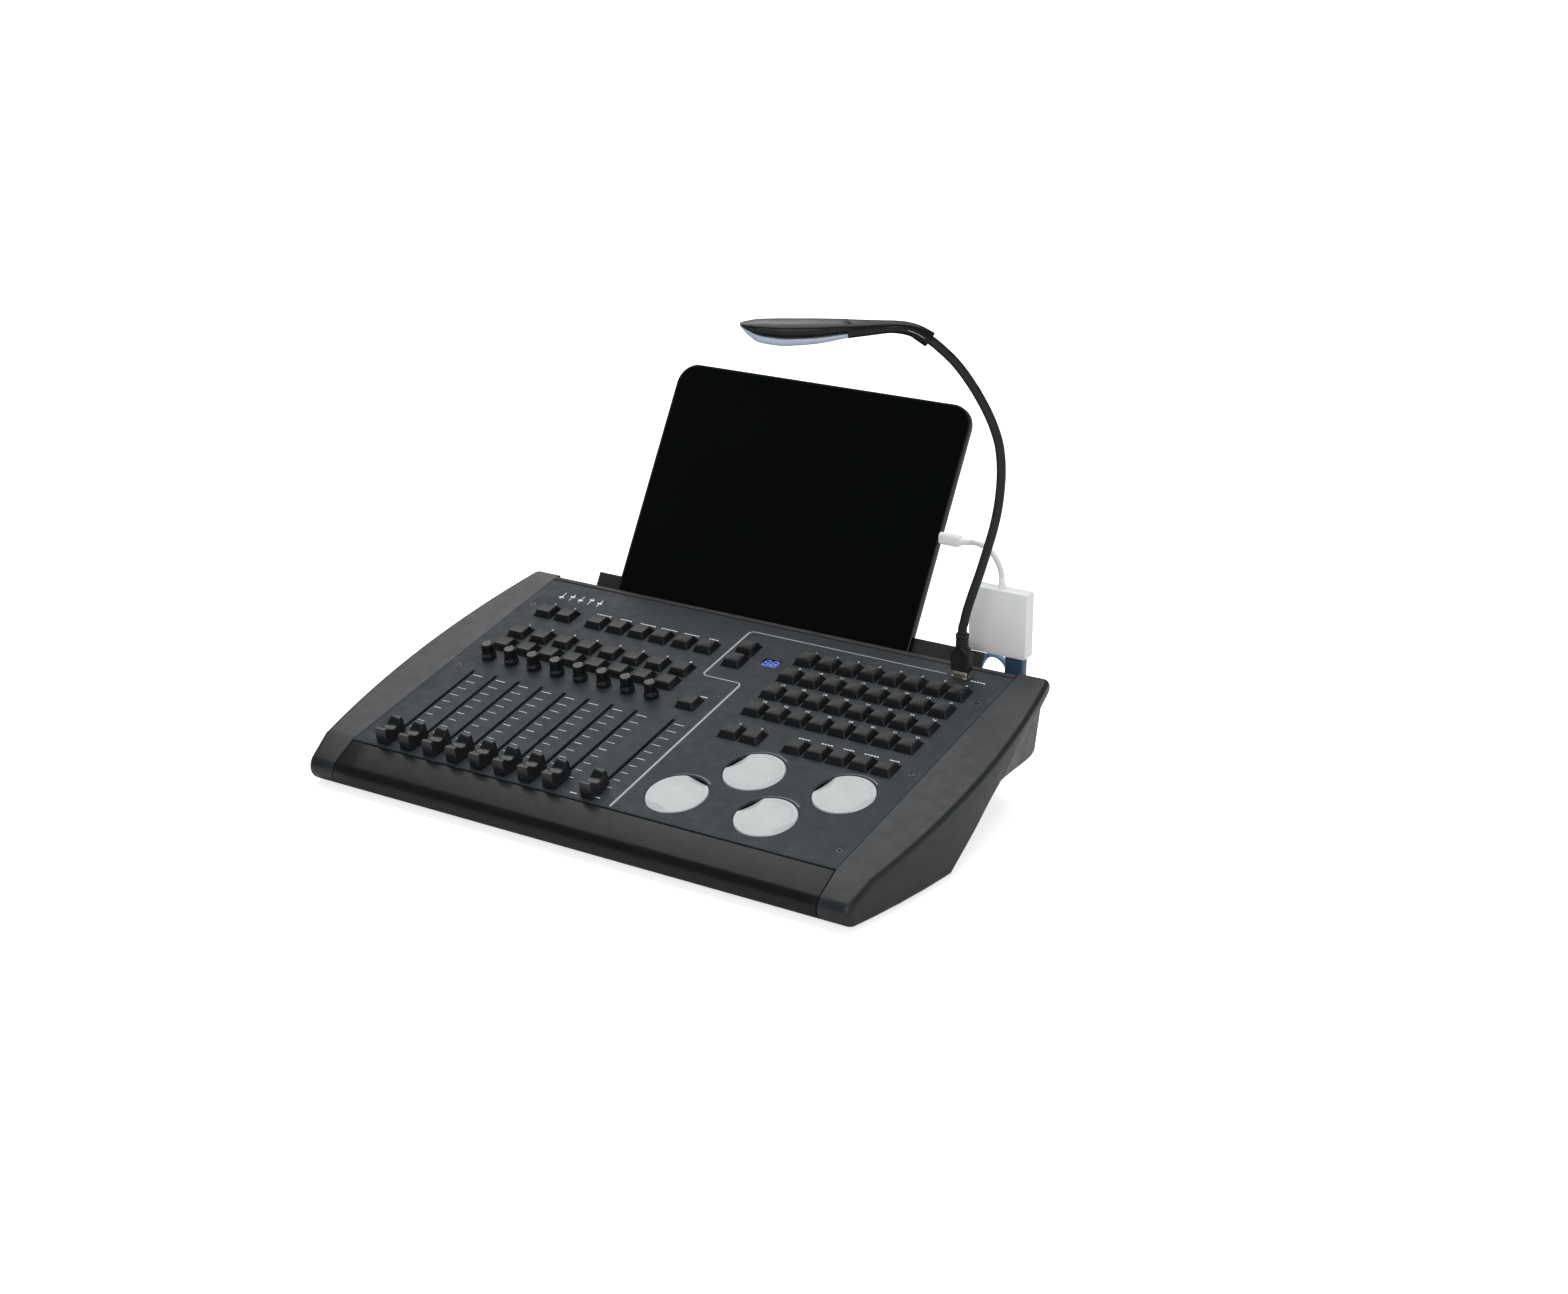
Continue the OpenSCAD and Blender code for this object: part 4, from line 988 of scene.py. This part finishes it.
# the divider round the memory section
shape = Shape()
stroke(shape, [(25.6, 2), (25.05, 175.6), *arc((20.8, 175.6), 4.2, 10, 90, 6), (10, 179.8), (-7.8, 179.8),
               *arc((-7.8, 184), 4.2, 260, 180, 6), (-11.4, 245.6), *arc((-7.2, 245.8), 4.2, 178, 90, 6),
               (60, 250), (168, 250)],
       [2, 2, *[1.7, 1.5, 1.3, 1.2, 1.1, 1, 1], 1, 1, *[1, 1, 1.1, 1.2, 1.4, 1.6, 1.8], 1.9,
        *[1.8, 1.6, 1.4, 1.2, 1.1, 1, 1], 0.9, 0.8])
piece("print_divider", shape, ON_PANEL, PRINT_LINE, "desk")
shape = Shape()
for u, v in WHEELS:
    steps = 24
    line = [(u + 25.7 * math.cos(math.radians(a)), v + 25.7 * math.sin(math.radians(a)))
            for a in (50 + 87 * k / steps for k in range(steps + 1))]
    stroke(shape, line, [0.2 + 1.7 * (1 - k / steps) for k in range(steps + 1)])
piece("print_wheel_arcs", shape, ON_PANEL, PRINT_ARC, "desk")

# ---- floor, light and air ----
floor = bpy.data.meshes.new("floor")
floor.from_pydata([(-9, -9, 0), (9, -9, 0), (9, 9, 0), (-9, 9, 0)], [], [(0, 1, 2, 3)])
floor_mat = bpy.data.materials.new("floor_pale")
floor_mat.use_nodes = True
floor_shader = floor_mat.node_tree.nodes["Principled BSDF"]
floor_shader.inputs["Base Color"].default_value = (0.93, 0.93, 0.93, 1)
floor_shader.inputs["Roughness"].default_value = 0.9
floor_shader.inputs["Emission Color"].default_value = (1, 1, 1, 1)
only_seen = floor_mat.node_tree.nodes.new("ShaderNodeMath")
only_seen.operation = "MULTIPLY"
only_seen.inputs[1].default_value = 0.7
floor_ray = floor_mat.node_tree.nodes.new("ShaderNodeLightPath")
floor_mat.node_tree.links.new(floor_ray.outputs["Is Camera Ray"], only_seen.inputs[0])
floor_mat.node_tree.links.new(only_seen.outputs["Value"], floor_shader.inputs["Emission Strength"])
floor_shader.inputs["Specular IOR Level"].default_value = 0.1
floor.materials.append(floor_mat)
floor_obj = bpy.data.objects.new("floor", floor)
bpy.context.collection.objects.link(floor_obj)


def softbox(name, place, aim, size, power, colour=(1, 1, 1)):
    data = bpy.data.lights.new(name, "AREA")
    data.shape = "RECTANGLE"
    data.size, data.size_y = size
    data.energy = power
    data.color = colour
    obj = bpy.data.objects.new(name, data)
    obj.location = place
    obj.rotation_mode = "QUATERNION"
    obj.rotation_quaternion = (Vector(aim) - Vector(place)).to_track_quat("-Z", "Y")
    bpy.context.collection.objects.link(obj)


overhead = bpy.data.lights.new("overhead", "SUN")
overhead.energy = 1.9
overhead.angle = math.radians(60)
overhead_obj = bpy.data.objects.new("overhead", overhead)
overhead_obj.rotation_euler = (math.radians(-14), math.radians(-10), 0)
bpy.context.collection.objects.link(overhead_obj)
softbox("behind_left", (-1.7, 1.6, 1.5), (0, 0, 0.1), (1.6, 1.2), 9)
softbox("front_right", (1.3, -2.3, 1.3), (0, 0, 0.1), (1.8, 1.4), 26, (1, 0.99, 0.98))
softbox("right_side", (2.2, 0.6, 0.7), (0.2, 0, 0.1), (1.2, 1.0), 3)

world = bpy.data.worlds.new("studio")
world.use_nodes = True
bpy.context.scene.world = world
air = world.node_tree.nodes
link = world.node_tree.links.new
seen = air["Background"]
seen.inputs["Color"].default_value = (1, 1, 1, 1)
ambient = air.new("ShaderNodeBackground")
ambient.inputs["Color"].default_value = (0.9, 0.95, 1, 1)
ambient.inputs["Strength"].default_value = 0.2
either = air.new("ShaderNodeMixShader")
link(air.new("ShaderNodeLightPath").outputs["Is Camera Ray"], either.inputs["Fac"])
link(ambient.outputs["Background"], either.inputs[1])
link(seen.outputs["Background"], either.inputs[2])
link(either.outputs["Shader"], air["World Output"].inputs["Surface"])
bpy.context.scene.view_settings.view_transform = "Standard"
